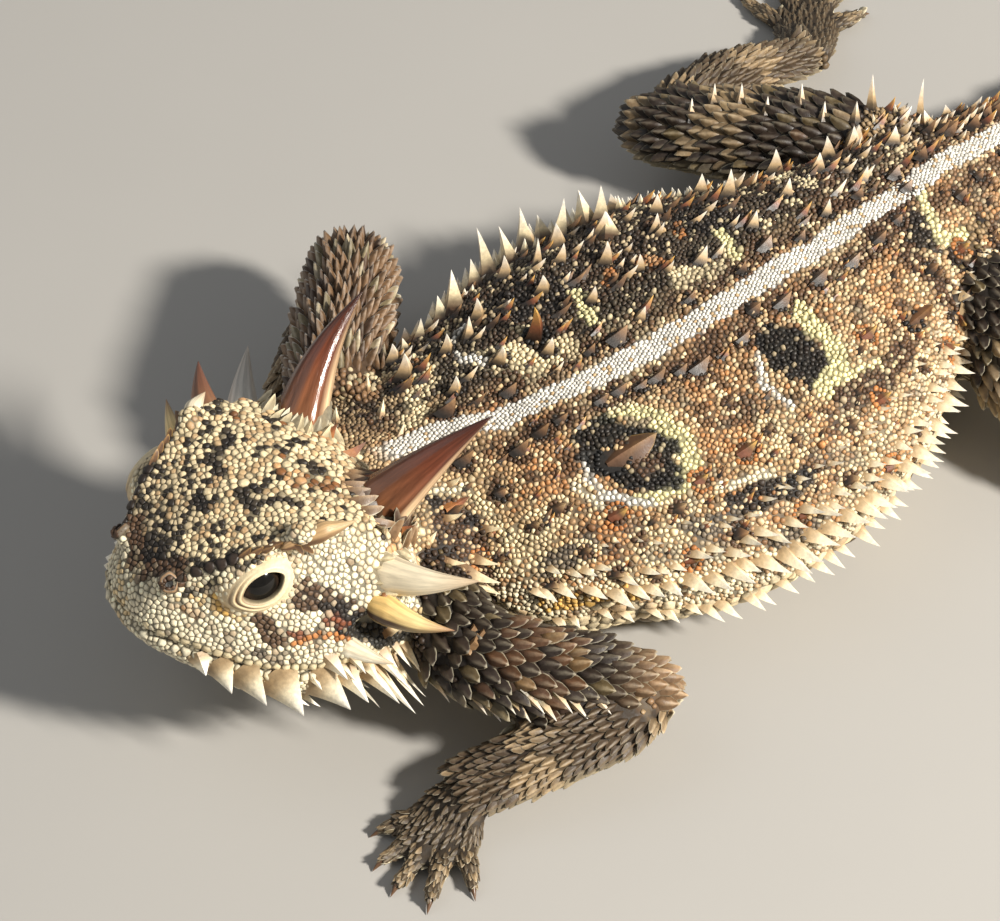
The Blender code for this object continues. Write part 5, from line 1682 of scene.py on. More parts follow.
def grow_fringe(coat, skin, longest, chance):
    """Rows of long pale spines along each flank and each side of the tail."""
    body = skin.anatomy.tubes["body"]
    for side in (1, -1):
        near = side == 1
        for first, last, count, height, share, width in FRINGE_ROWS:
            for k in range(count):
                step = k / (count - 1)
                place = first + (last - first) * step + chance.uniform(-0.05, 0.05)
                angle = height + chance.uniform(-0.05, 0.05)
                angle = angle if near else math.pi - angle
                on_tail = first > 7.5
                taper = 1 - 0.65 * step if on_tail else 0.6 + 0.4 * math.sin(math.pi * min(1.25 * step, 1))
                _, along, across, up = (each[0] for each in body.frames([place]))
                root = body.surface([place], np.array([angle]))[0]
                if any(np.linalg.norm(root - other) < 1.25 for other in Lizard.seen_roots):
                    continue
                out = across * math.cos(angle) + up * math.sin(angle)
                back = (0.28 if near else 0.55) + chance.uniform(-0.15, 0.15)
                lift = (0.0 if near else 0.25) + chance.uniform(-0.12, 0.12)
                size = taper * share * chance.uniform(0.75, 1.2)
                if longest * size < SHORTEST_FRINGE:
                    continue
                broad = width * (1.0 if near else 1.2) * max(size, 0.2) ** 0.5
                add_spine(coat, skin, root, out + along * back + up * lift, longest * size * 1.05, broad,
                          "fringe" if near else "fringe_far", 0.62, 0.16, up)


def seen_root(skin, u, v, tip_u, tip_v, parts):
    """The place where a spine that ends at the tip's pixel leaves the skin, searched back along its line."""
    for step in np.arange(0, 2.6, 0.2):
        root = skin.seen((u + (u - tip_u) * step, v + (v - tip_v) * step), *parts)
        if root is not None:
            return root
    return None


def grow_seen_spines(coat, skin, groups, lean, mirrored, *parts):
    """Spines whose root and tip the camera sees, leaning to it or away; those of the jaw on both sides."""
    rows = [(kind, *row) for kind, group in groups.items() for row in group]
    for kind, u, v, tip_u, tip_v, width in rows:
        root = seen_root(skin, u, v, tip_u, tip_v, parts)
        if root is None:
            continue
        ray = CAMERA.ray((tip_u, tip_v))
        tip = CAMERA.place + ray * ((root - CAMERA.place) @ CAMERA.look) / (ray @ CAMERA.look)
        way = tip - root
        way = way * (1.45 if kind == "arm" else 1.0) - ray * lean * np.linalg.norm(way)
        Lizard.seen_roots.append(root)
        flatness = (0.36 if width > BROAD_SPINE else 0.5) if kind == "jaw" else 0.62
        if kind == "fringe_far":
            width, way = width * 1.4, way * 0.88
        elif kind == "arm":
            way = way * min(1, LONGEST_ARM_SPINE / np.linalg.norm(way))
        ways = [(root, way)]
        if mirrored:
            ways.append((on_head(in_head(root) * (-1, 1, 1)), TURN @ (way @ TURN * (-1, 1, 1))))
        for base, direction in ways:
            over = skin.settle([base])[1][0] if kind == "jaw" else None
            length = np.linalg.norm(direction)
            add_spine(coat, skin, base, direction, length, width, kind, flatness, 0.1, over)


def grow_throat_spines(coat, skin, chance):
    """The small spines of the throat's fringe, behind the shields."""
    for side in (1, -1):
        for k in range(9):
            root = head_spot((9.0 - 0.22 * k, 9.6 + 1.15 * k, -3.9 - 0.10 * k), side)
            way = TURN @ sided((0.85, 0.8 + chance.uniform(-0.1, 0.1), -0.45), side)
            length = 1.7 + 0.1 * k * chance.uniform(0.7, 1.2)
            add_spine(coat, skin, root, way, length, 0.45, "jaw", 0.7, 0.12, TURN[:, 2])


def lay_head_plates(coat, skin, chance):
    """Long plates round the foot of each big horn, and the ridge of long scales over each eye."""
    for name, start, along, radius in big_horns():
        side = unit(np.cross(along, TURN[:, 1]))
        over = np.cross(side, along)
        colours = ("tan", "brown") if name == "horn_occipital_left" else ("cream", "ivory")
        rings, lift = (((1.75, -0.45, 1.0), (1.38, -0.05, 1.15)), 0.62)
        if radius < LONGEST_HORN:
            rings, lift = (((1.32, -0.1, 0.95),), 0.35)
        for ring, (out, back, long) in enumerate(rings):
            count = int(2 * math.pi * radius * out / 0.95)
            turns = (np.arange(count) + 0.5 * ring + chance.uniform(-0.2, 0.2, count)) * 2 * math.pi / count
            roots = start + (along * back + circle(turns, side, over) * out) * radius
            tints = COLOURS[colours[ring]] * chance.uniform(0.65, 1.1, (count, 1))
            lengths = long * radius * chance.uniform(0.85, 1.2, count)
            widths = chance.uniform(0.95, 1.25, count)
            ways = np.tile(along, (count, 1))
            add_leaves(coat, skin, roots, ways, lengths, widths, np.full(count, lift), tints, chance)
    for side in (1, -1):
        roots = head_places(brow_places(np.arange(5.3, 9.3, 0.52), 0.42, 0.10), side)
        count = len(roots)
        tints = RIDGE_COLOUR * chance.uniform(0.7, 1.2, (count, 1))
        lengths, widths, lifts = (np.full(count, size) for size in (1.35, 0.72, 0.42))
        ways = np.tile(TURN[:, 1], (count, 1))
        add_leaves(coat, skin, roots, ways, lengths, widths, lifts, tints, chance, COLOURS["gold"])


def grow_thorns(coat, skin, markings, chance):
    """Little raised points all over the back, pale and dense on the far side."""
    tube = skin.anatomy.tubes["body"]
    for _ in range(640):
        root = tube.surface([chance.uniform(0.7, 10.5)], np.array([chance.uniform(0.12, math.pi - 0.12)]))[0]
        off = root[0] - stripe_middle(root[1])
        far = off < 0
        size = chance.uniform(0.8, 1.6) if far else chance.uniform(0.5, 0.9)
        kinds = ("ivory", "tan", "keel") if far else ("tan", "keel")
        kind = kinds[int(chance.integers(len(kinds)))]
        if abs(off) < 1.5 or (not far and chance.random() > 0.6) or not markings.is_clear(root, 0.3):
            continue
        way = np.array((0.0, 0.9, 0.75)) + chance.uniform(-0.2, 0.2, 3)
        add_spine(coat, skin, root, way, size, 0.16 + 0.16 * size, kind, 0.8)


def grow_small_spines(coat, skin, chance):
    """Short spines between and beside the horns, and the clusters on each side of the neck."""
    places = ((10.3, 15.9, 1.4, 1.5, "neck"), (7.4, 17.4, 7.6, 1.3, "skull"), (2.3, 17.9, 9.0, 1.4, "skull"),
              (0.0, 18.2, 9.2, 1.9, "skull"), (3.0, 16.8, 10.0, 0.8, "skull"), (8.4, 9.6, 8.6, 0.8, "skull"))
    for side in (1, -1):
        for x, t, h, size, kind in places:
            if x == 0.0 and side == -1:
                continue
            way = TURN @ sided((0.4 if x else 0.0, 0.85, 0.6), side)
            size = size * 0.85
            add_spine(coat, skin, head_spot((x, t, h), side), way, size, size * 0.32, kind, 0.8)
        neck = skin.anatomy.tubes["neck"]
        cluster = ((2.3, 0.05, 2.2), (2.8, 0.25, 1.8), (2.6, -0.3, 1.8), (2.5, 0.8, 1.3), (3.1, 1.1, 1.2),
                   (2.0, 0.3, 1.3), (2.1, -0.2, 1.4), (3.3, 0.6, 1.3), (2.9, -0.1, 1.5), (3.0, 1.4, 0.9))
        for place, angle, length in cluster:
            turn = angle if side == 1 else math.pi - angle
            _, along, across, up = (each[0] for each in neck.frames([place]))
            out = across * math.cos(turn) + up * math.sin(turn)
            root = neck.surface([place], np.array([turn]))[0]
            size = length * chance.uniform(0.9, 1.1)
            add_spine(coat, skin, root, out + along * 0.5, size, size * 0.28, "neck", 0.8, 0.15, up)


# Leaf scales by kind of tube: first and last place as shares of the tube, then a scale's length, width, lift.
LEAF_PLANS = {
    "upper_arm": (0.10, 0.97, 1.75, 1.42, 0.70),
    "forearm": (0.06, 1.0, 1.45, 0.80, 0.46),
    "thigh": (0.16, 0.97, 1.70, 1.32, 0.70),
    "shank": (0.06, 1.0, 1.45, 0.84, 0.48),
    "hand": (0.10, 1.0, 0.90, 0.62, 0.26),
    "foot": (0.10, 1.0, 1.0, 0.68, 0.28),
    "digit": (0.16, 0.97, 0.80, 0.64, 0.20),
    "tail": (0.60, 0.995, 1.0, 0.85, 0.36),
}
# The right upper arm's scales are narrower and stand up more.
RIGHT_ARM_PLAN = (0.10, 0.97, 1.75, 1.0, 0.85)


def leaf_kind(name):
    """The row of LEAF_PLANS that a tube follows."""
    return "tail" if name == "body" else "digit" if "digit" in name else name.rsplit("_", 1)[0]


def tail_shrink(half_widths):
    """How much smaller the tail's scales are where the tail is thinner."""
    return np.minimum(1.0, 0.45 + 0.55 * half_widths / 3.0)


def leaf_places(tube, kind, plan, chance):
    """Places and angles on a tube for staggered rows of scales that overlap the row behind."""
    first, last, length, width, _ = plan
    where, turn = [], []
    place, row = tube.last * first, 0
    while place < tube.last * last:
        half = tube.frames([place])[0][0]
        shrink = tail_shrink(half[3]) if kind == "tail" else 1.0
        around = 2 * math.pi * math.sqrt((half[3] ** 2 + ((half[4] + half[5]) / 2) ** 2) / 2)
        count = max(5, int(round(around / (width * shrink * 0.80))))
        where += [place + chance.uniform(-0.015, 0.015) for _ in range(count)]
        stagger = 0.5 * (row % 2)
        turn += [(k + stagger) * 2 * math.pi / count + chance.uniform(-0.05, 0.05) for k in range(count)]
        further = min(place + 0.1, tube.last)
        ahead = tube.frames([further])[0][0][:3]
        speed = max(np.linalg.norm(ahead - half[:3]) / max(further - place, 1e-6), 0.5)
        place += length * shrink * 0.56 / speed
        row += 1
    return np.array(where), np.array(turn)


def lay_leaves(coats, skin, markings, chance):
    """Overlapping keeled scales in staggered rows on the limbs, the paws, the digits and the tail."""
    laid = []
    for name, tube in skin.anatomy.tubes.items():
        if name == "neck":
            continue
        kind = leaf_kind(name)
        plan = RIGHT_ARM_PLAN if name == "upper_arm_right" else LEAF_PLANS[kind]
        _, _, length, width, lift = plan
        where, turn = leaf_places(tube, kind, plan, chance)
        roots = tube.surface(where, turn)
        settled, normals, _, faces = skin.settle(roots)
        near = np.linalg.norm(roots - settled, axis=1) < 0.55
        parts = skin.parts[skin.triangles[faces, 0]]
        own = skin.anatomy.number(name)
        keep = near & (skin.anatomy.is_part(parts, "body") if kind == "tail" else parts == own)
        where, roots, normals = where[keep], settled[keep], normals[keep]
        if not len(roots):
            continue
        count = len(roots)
        row, ways, _, _ = tube.frames(where)
        roll = chance.random(count)
        tints = markings.colours(roots, normals, np.full(count, own), where, roll)
        tints *= chance.uniform(0.8, 1.2, (count, 1))
        size = tail_shrink(row[:, 3]) if kind == "tail" else np.ones(count)
        flatter = np.where(normals[:, 2] < -0.35, 0.35, 1.0)
        lengths = length * size * chance.uniform(0.88, 1.12, count)
        lifts = lift * size * flatter * chance.uniform(0.7, 1.25, count)
        edge = COLOURS["white"] * 1.5 if plan is RIGHT_ARM_PLAN else None
        add_leaves(coats(name), skin, roots, ways, lengths, width * size, lifts, tints, chance, edge)
        laid.append(roots + ways * length * 0.4)
    return np.vstack(laid)


def limb_coat(coats):
    """A function that gives the coat for a tube's name."""
    def choose_coat(name):
        if name == "body":
            return coats["tail_scales"]
        group = "fore" if name.startswith(("upper_arm", "forearm", "hand")) else "hind"
        return coats[f"{group}_limb_scales_{'left' if 'left' in name else 'right'}"]
    return choose_coat


DOME_COATS = (
    "head_scales_left", "head_scales_right", "crown_scales", "belly_scales",
    "back_scales_left", "back_scales_right", "loin_scales_left", "loin_scales_right",
)
HORN_SIDES = 32
# The first ring of a horn that is well clear of its buried root, and the way that its rear edge faces,
# towards the key light.
FOOT_RING = 8
HORN_KEY_SIDE = (0.90, 0.30, -0.12)


def domed_coats(scales, coats):
    """A function that gives the coat for a domed scale by its number; none where leaf scales cover it."""
    anatomy = scales.skin.anatomy
    tree = tree_of(Lizard.leaf_roots)
    leafy = ~anatomy.is_part(scales.parts, "head", "body", "neck")
    leafy |= anatomy.is_part(scales.parts, "body") & (scales.places > TAIL_START - 0.2)
    on_head_part = scales.parts == anatomy.number("head")
    on_crown = scales.normals @ TURN[:, 2] > 0.3

    def coat_for(i):
        x, y, _ = scales.roots[i]
        if leafy[i] and tree.find(scales.roots[i])[2] < 0.75:
            return None
        if on_head_part[i]:
            face = "head_scales_left" if x > SNOUT_TIP[0] else "head_scales_right"
            return coats["crown_scales" if on_crown[i] else face]
        if scales.normals[i][2] < -0.1:
            return coats["belly_scales"]
        side = "left" if x > stripe_middle(y) else "right"
        return coats[f"{'back' if y < MIDDLE_OF_BACK else 'loin'}_scales_{side}"]
    return coat_for


def horn_rings(root, tip, radius, bow, turns):
    """The rings of a horn from its buried root to its tip, and each ring's share of the length."""
    start, end = on_head(root), on_head(tip)
    along = unit(end - start)
    across = unit(np.cross(along, (0.0, 1.0, 0.0)))
    over = np.cross(across, along)
    shares = np.concatenate(((-0.30, -0.24), np.linspace(-0.16, 0.9, 26), (0.94, 0.97, 0.985, 0.995)))
    rings = []
    for share in shares:
        risen = max(share, 0)
        size = radius * (1.10 * np.clip(1 - risen**1.2, 0.0, 1) ** 0.98 + 0.010)
        size = size * math.sqrt(max(1 - (min(share, 0) / 0.31) ** 2, 0.02))
        flute = 1 + (0.030 * np.cos(9 * turns + 1.3) + 0.018 * np.cos(17 * turns)) * (1 - risen) ** 0.5
        centre = start + (end - start) * share - over * bow * math.sin(math.pi * risen)
        if root[2] > BROW_LEVEL:
            centre = centre - TURN[:, 2] * 1.3 * max(0.45 - share, 0)
            size = size * min(0.45 + 1.5 * risen, 1)
        swell = size * (1 + 0.05 * math.exp(-((share - 0.04) / 0.07) ** 2))
        rings.append(centre + circle(turns, across, 0.93 * over) * (swell * flute)[:, None])
    return np.array(rings), shares


def make_horn(name, finish_name):
    """One horn: a fluted cone in its finish's colours from root to tip, with its finish's edge colour along
    the side that faces the key light, paler and partly painted highlight on most finishes.
    """
    root, tip, radius, bow, _ = HORNS[name]
    turns = full_turn(HORN_SIDES)
    rings, shares = horn_rings(root, tip, radius, bow, turns)
    mesh = rings_mesh(name, to_frame(rings.reshape(-1, 3)).reshape(rings.shape))
    low, middle, high, edge = (np.array(tone) for tone in HORN_FINISHES[finish_name])
    share = clamp(np.repeat(shares, HORN_SIDES))[:, None]
    upper = middle + (high - middle) * (share - 0.5) / 0.5
    tints = np.where(share < 0.5, low + (middle - low) * share / 0.5, upper)
    around = rings[FOOT_RING] - rings[FOOT_RING].mean(axis=0)
    rear = unit(around) @ unit(np.array(HORN_KEY_SIDE))
    rear = np.tile(rear / rear.max(), len(shares))[:, None]
    # The edge colour on the side facing the key light; where it is paler it is partly painted highlight.
    tints = tints + (edge - tints) * clamp((rear - 0.86) / 0.08) * clamp(1.15 - share)
    streak = 1 + 0.16 * np.tile(np.sin(turns * 11 + 2.0) + 0.6 * np.sin(turns * 23), len(shares))[:, None]
    set_tints(mesh, clamp(tints * streak))
    around = np.tile(turns, len(shares))
    lengthwise = np.repeat(shares, HORN_SIDES) * 0.8
    places = np.column_stack((np.cos(around), np.sin(around), lengthwise)).astype(np.float32)
    mesh.attributes.new("grain", "FLOAT_VECTOR", "POINT").data.foreach_set("vector", places.ravel())
    return link(name.replace("horn_", "horn_sheath_"), mesh)


LID_SIDES = 80
LID_RINGS = 26
LID_COLOUR = np.array((0.88, 0.74, 0.47))
# The brown of the painted shade in the lids' creases.
LID_CREASE_SHADE = np.array((0.17, 0.085, 0.035))
# Rays that find the skin round an eye start this far out from the eye's centre.
ABOVE_EYE = 6.0


def lid_surface(skin, centre, axes, x, y, guess, share, folds):
    """Heights of a lid ring over the eye's centre, eased onto the skin by how far out the ring lies."""
    long_axis, short_axis, gaze = axes
    ease = min((share - 0.45) / 0.3, 1)
    out = guess.copy()
    for i, fold in enumerate(folds):
        start = centre + long_axis * x[i] + short_axis * y[i] + gaze * ABOVE_EYE
        hit, _, _, far = skin.tree.ray_cast(Vector(start), Vector(-gaze))
        if hit is not None:
            surface = ABOVE_EYE - far + 0.10 * (1 - share) + fold - 0.12 * (share > 0.97)
            out[i] = out[i] * (1 - ease) + surface * ease
    return out


def lid_tones(share, fold, wrinkle, front, above):
    """Colours round a lid ring: pale, brighter on the raised folds and darker in the dips as painted light,
    with painted shade in the creases towards the front corner and in a crease near the outer edge.
    """
    # Brighter on the raised folds and darker in the dips: painted light.
    tone = LID_COLOUR * (0.84 + 2.6 * (fold + 0.7 * wrinkle))[:, None]
    tone = tone + (COLOURS["sand"] - tone) * (front**2 * (0.30 + 0.50 * share))[:, None]
    # Painted shade in the creases towards the front corner and in one near the outer edge.
    crease_shade = clamp(-fold / 0.06) * front * 0.9 + math.exp(-(((share - 0.90) / 0.05) ** 2)) * 0.75
    tone = tone + (LID_CREASE_SHADE - tone) * np.clip(crease_shade, 0, 0.9)[:, None]
    return tone + (COLOURS["tan"] - tone) * (above**2 * share**2 * 0.5)[:, None]


def make_lids(skin):
    """The rolled lids of both eyes: smooth rings of folds that close round the eyeball."""
    turns = full_turn(LID_SIDES)
    corner = np.abs(np.cos(turns)) ** 6
    front = clamp(-np.cos(turns))
    above = clamp(np.sin(turns))
    points, faces, tints = [], [], []
    for number, side in enumerate((1, -1)):
        centre, axes = head_spot(EYE_AT, side), eye_axes(side)
        for k in range(LID_RINGS):
            share = k / (LID_RINGS - 1)
            wide, tall = (inner + (outer - inner) * share for inner, outer in zip(LID_INNER, LID_OUTER))
            x = np.cos(turns) * wide * (1 + 0.07 * corner * (1 - share) + 0.14 * front**3 * share)
            y = np.sin(turns) * tall * (1 - 0.16 * corner) * (1 - 0.22 * above * share)
            mound = 1 - (x / LID_MOUND[0]) ** 2 - (y / LID_MOUND[1]) ** 2
            strength = (0.035 + 0.055 * front) * math.sin(math.pi * min(share * 1.5 + 0.05, 1))
            fold = strength * np.cos(share * 2 * math.pi * (3.3 + 1.6 * front) + 0.4)
            wrinkle = 0.018 * np.sin(turns * 31 + 6 * share) * share
            wrinkle = wrinkle + 0.03 * np.sin(turns * 5 + share * 9) * share
            out = LID_MOUND[2] * np.sqrt(np.clip(mound, 0.02, 1)) + fold + wrinkle
            flat = x**2 + y**2
            if k == 0:
                out = np.sqrt(EYE_RADIUS**2 - np.clip(flat, 0, EYE_RADIUS**2 * 0.98)) - 0.12
            if k == 1:
                out = out * 0.5 + 0.5 * np.sqrt(EYE_RADIUS**2 - np.clip(flat, 0, 4.5)) + 0.12
            if share > 0.45:
                out = lid_surface(skin, centre, axes, x, y, out, share, fold * 0.6 + wrinkle)
            points.append(centre + np.column_stack((x, y, out)) @ np.array(axes))
            tone = lid_tones(share, fold, wrinkle, front, above) * (0.45 if k == 1 else 1.0)
            tints.append(np.tile(COLOURS["umber"], (LID_SIDES, 1)) if k == 0 else tone)
        first = number * LID_RINGS * LID_SIDES
        for k in range(LID_RINGS - 1):
            for j in range(LID_SIDES):
                a = first + k * LID_SIDES + j
                b = first + k * LID_SIDES + (j + 1) % LID_SIDES
                quad = (a, b, b + LID_SIDES, a + LID_SIDES)
                faces.append(quad if side == 1 else tuple(reversed(quad)))
    mesh = bpy.data.meshes.new("eyelids")
    points = np.vstack(points)
    mesh.from_pydata(to_frame(points).tolist(), [], faces)
    set_patches(mesh, skin.settle(points)[2])
    set_tints(mesh, np.vstack(tints))
    return link("eyelids", mesh)


IRIS_GLOW = np.array((0.020, 0.010, 0.005))


def make_eye(side, name):
    """A glossy ball with a slight cornea, modelled at its place."""
    deselect()
    bpy.ops.mesh.primitive_uv_sphere_add(segments=48, ring_count=32, radius=EYE_RADIUS * MM)
    piece = bpy.context.view_layer.objects.active
    piece.name = name
    points = mesh_points(piece.data) / MM
    gaze = eye_axes(side)[2]
    bulge = clamp((points @ gaze) / EYE_RADIUS) ** 8
    points = points * (1 + 0.05 * bulge[:, None])
    rim = np.linalg.norm(points - (points @ gaze)[:, None] * gaze, axis=1)
    set_points(piece.data, to_frame(points + head_spot(EYE_AT, side)))
    iris = clamp((rim - 0.95) / 0.2) * (points @ gaze > 0)
    set_tints(piece.data, COLOURS["black"] + iris[:, None] * IRIS_GLOW)
    return piece


NOSTRIL_SIDES = 28
# The nostril from its outer edge into the pit: radius, height and colour; the pit's umber and black are
# painted shade.
NOSTRIL_PROFILE = (
    (0.70, -0.20, "grey"), (0.66, 0.10, "grey"), (0.57, 0.20, "tan"), (0.50, 0.22, "grey"),
    (0.44, 0.19, "umber"), (0.39, 0.14, "black"), (0.30, 0.11, "black"), (0.10, 0.10, "black"),
)


def make_nostril(skin, side):
    """The raised ring round a nostril and the pit in it, set on the skin."""
    out = nostril_way(side)
    centre = head_spot(NOSTRIL_AT, side)
    turn = np.array(Vector(out).to_track_quat("Z", "Y").to_matrix())
    heights = []
    for angle in np.arange(8) * math.pi / 4:
        start = centre + out * 3 + turn @ np.array((math.cos(angle), math.sin(angle), 0.0)) * 0.62
        hit, _, _, far = skin.tree.ray_cast(Vector(start), Vector(-out))
        if hit is not None:
            heights.append(3 - far)
    seat = centre + out * (float(np.median(heights)) + 0.06)
    turns = full_turn(NOSTRIL_SIDES)
    flat = np.column_stack((np.cos(turns), 1.12 * np.sin(turns), np.zeros(NOSTRIL_SIDES)))
    uneven = 1 + 0.05 * np.sin(turns * 5 + side)[:, None]
    rings = [seat + (flat * radius * uneven) @ turn.T + out * height for radius, height, _ in NOSTRIL_PROFILE]
    mesh = rings_mesh("nostril", to_frame(np.vstack(rings)).reshape(len(rings), -1, 3))
    tints = [np.tile(COLOURS[colour], (NOSTRIL_SIDES, 1)) * uneven for _, _, colour in NOSTRIL_PROFILE]
    set_tints(mesh, np.vstack(tints))
    return link(f"nostril_{'left' if side == 1 else 'right'}", mesh)


CLAW_SIDES = 10
# Rings of a claw: share of its length, and radius.
CLAW_RINGS = ((0.0, 0.30), (0.25, 0.27), (0.5, 0.20), (0.75, 0.12), (0.93, 0.04))


def make_claws():
    """Small curved claws, one on every digit."""
    coat = Coat()
    triangles = ring_triangles(len(CLAW_RINGS), CLAW_SIDES)
    turns = full_turn(CLAW_SIDES)
    for name in PAWS:
        for root, along, reach in paw_digits(name):
            start = root + along * (reach - 0.1) + UP * 0.02
            across = np.cross(along, UP)
            points, shares = [], []
            for share, radius in CLAW_RINGS:
                centre = start + along * share * 1.45 - UP * 0.55 * share**2
                points.append(centre + circle(turns, across * radius, UP * radius * 1.15))
                shares += [share] * CLAW_SIDES
            points += [[start + along * 1.48 - UP * 0.56], [start]]
            points = np.vstack(points)
            shares = np.array(shares + [1.0, 0.0])[:, None]
            tints = COLOURS["dark"] * (1 - shares) + COLOURS["brown"] * shares
            coat.add(points, triangles, tints * 1.5, np.array((0.5, 0.5)), (points - start)[:, :2])
    return coat.piece("claws")


def node_at(tree, kind, **inputs):
    """A new node with some of its inputs set; an underscore in a name stands for a space."""
    made = tree.nodes.new(kind)
    for name, value in inputs.items():
        made.inputs[name.replace("_", " ")].default_value = value
    return made


def wire(source, output, target, entry):
    """Links a node's output to another's input."""
    source.id_data.links.new(source.outputs[output], target.inputs[entry])


def new_finish(name):
    """A new material, its node tree and its shader."""
    made = bpy.data.materials.new(name)
    made.use_nodes = True
    return made, made.node_tree, made.node_tree.nodes["Principled BSDF"]


def tinted_finish(name, roughness, speckle, grain, dent, streaked=False):
    """A finish that takes its colour from the piece's tint, with fine speckle, uneven gloss and dents."""
    made, tree, shader = new_finish(name)
    where = tree.nodes.new("ShaderNodeAttribute" if streaked else "ShaderNodeTexCoord")
    if streaked:
        where.attribute_name = "grain"
    spot = "Vector" if streaked else "Object"
    tint = tree.nodes.new("ShaderNodeAttribute")
    tint.attribute_name = "tint"
    noise = node_at(tree, "ShaderNodeTexNoise", Scale=grain, Detail=4.0, Roughness=0.6)
    wire(where, spot, noise, "Vector")
    low, high = 1 - speckle, 1 + speckle * 0.7
    tone = node_at(tree, "ShaderNodeMapRange", From_Min=0.3, From_Max=0.7, To_Min=low, To_Max=high)
    wire(noise, "Fac", tone, "Value")
    scaled = tree.nodes.new("ShaderNodeVectorMath")
    scaled.operation = "SCALE"
    wire(tint, "Color", scaled, 0)
    wire(tone, "Result", scaled, "Scale")
    wire(scaled, "Vector", shader, "Base Color")
    low, high = roughness * 0.8, roughness * 1.2
    gloss = node_at(tree, "ShaderNodeMapRange", From_Min=0.3, From_Max=0.7, To_Min=low, To_Max=high)
    wire(noise, "Fac", gloss, "Value")
    wire(gloss, "Result", shader, "Roughness")
    fine = node_at(tree, "ShaderNodeTexNoise", Scale=grain * 2.7, Detail=2.0)
    wire(where, spot, fine, "Vector")
    bump = node_at(tree, "ShaderNodeBump", Strength=0.5, Distance=dent)
    wire(fine, "Fac", bump, "Height")
    wire(bump, "Normal", shader, "Normal")
    return made


def eye_finish():
    """The wet gloss of the eye."""
    made = tinted_finish("eye_gloss", 0.10, 0.3, 1500.0, 0.000001)
    made.node_tree.nodes["Principled BSDF"].inputs["Specular IOR Level"].default_value = 0.32
    return made


class LizardSizes(bpy.types.PropertyGroup):
    """Sizes of the scales and spines."""

    skin_step: FloatProperty(
        name="Skin step", description="Size of the skin's faces", default=0.00036, unit="LENGTH")
    back_scale: FloatProperty(
        name="Back scale", description="Spacing of the granules on the back", default=0.00031, unit="LENGTH")
    face_scale: FloatProperty(
        name="Face scale", description="Spacing of the scales on the face", default=0.00032, unit="LENGTH")
    belly_scale: FloatProperty(
        name="Belly scale", description="Spacing of the smooth scales below", default=0.00080, unit="LENGTH")
    fringe_length: FloatProperty(
        name="Fringe length", description="Length of the longest flank spine", default=0.0030, unit="LENGTH")
    candidates: IntProperty(
        name="Candidates", description="Random places tried when scales fill the skin", default=400000)
    seed: IntProperty(name="Seed", description="Seed of every random draw", default=7)


class LizardLook(bpy.types.PropertyGroup):
    """The stage's colours and light."""

    floor_colour: FloatVectorProperty(
        name="Floor", description="Colour of the floor", default=(0.41, 0.395, 0.37), size=3, subtype="COLOR")
    key_power: FloatProperty(
        name="Key light", description="Power of the key light", default=5.2, unit="POWER")
    fill_power: FloatProperty(
        name="Fill light", description="Power of the fill light", default=0.6, unit="POWER")
    sky: FloatProperty(name="Sky", description="Strength of the even light from all round", default=0.27)


FLESH = ("torso", "pelvis", "tail", "neck", "head", "lower_jaw")
LIMB_PARTS = ("upper_arm", "forearm", "hand", "thigh", "shank", "foot")
LIMB_NODES = tuple(f"{part}_{side}" for part in LIMB_PARTS for side in ("left", "right"))


def chance_for(step):
    """The seeded random draws of one step of the dressing."""
    return np.random.default_rng(bpy.context.scene.lizard_sizes.seed * 100 + step)


class LIZARD_OT_skin(bpy.types.Operator):
    """Draws one skin over the whole animal and paints it"""

    bl_idname = "lizard.skin"
    bl_label = "Skin"

    def execute(self, context):
        Lizard.anatomy = Anatomy()
        Lizard.skin = skin = Skin(Lizard.anatomy, context.scene.lizard_sizes.skin_step / MM)
        Lizard.markings = Markings(skin)
        roll = np.full(len(skin.points), 0.5)
        tints = Lizard.markings.colours(skin.points, skin.normals, skin.parts, skin.places, roll)
        # The skin shows only between the scales; darkening it to about a quarter is painted shade in those
        # gaps.
        set_tints(skin.mesh, clamp(tints * 0.26))
        set_points(skin.mesh, to_frame(skin.points))
        dress(skin.piece, "skin_back", tinted_finish("skin", 0.72, 0.3, 2600.0, 0.00005), *FLESH, *LIMB_NODES)
        return {"FINISHED"}


class LIZARD_OT_limb_scales(bpy.types.Operator):
    """Lays the keeled scales of the limbs, the paws and the tail"""

    bl_idname = "lizard.limb_scales"
    bl_label = "Limb and tail scales"

    def execute(self, context):
        names = ("fore_limb_scales_left", "fore_limb_scales_right", "hind_limb_scales_left",
                 "hind_limb_scales_right", "tail_scales")
        coats = {name: Coat() for name in names}
        Lizard.leaf_roots = lay_leaves(limb_coat(coats), Lizard.skin, Lizard.markings, chance_for(1))
        finish = tinted_finish("keeled_scale", 0.55, 0.28, 3200.0, 0.00003)
        for name, coat in coats.items():
            dress(coat.piece(name), "skin_back" if name == "tail_scales" else "skin_limb", finish)
        return {"FINISHED"}


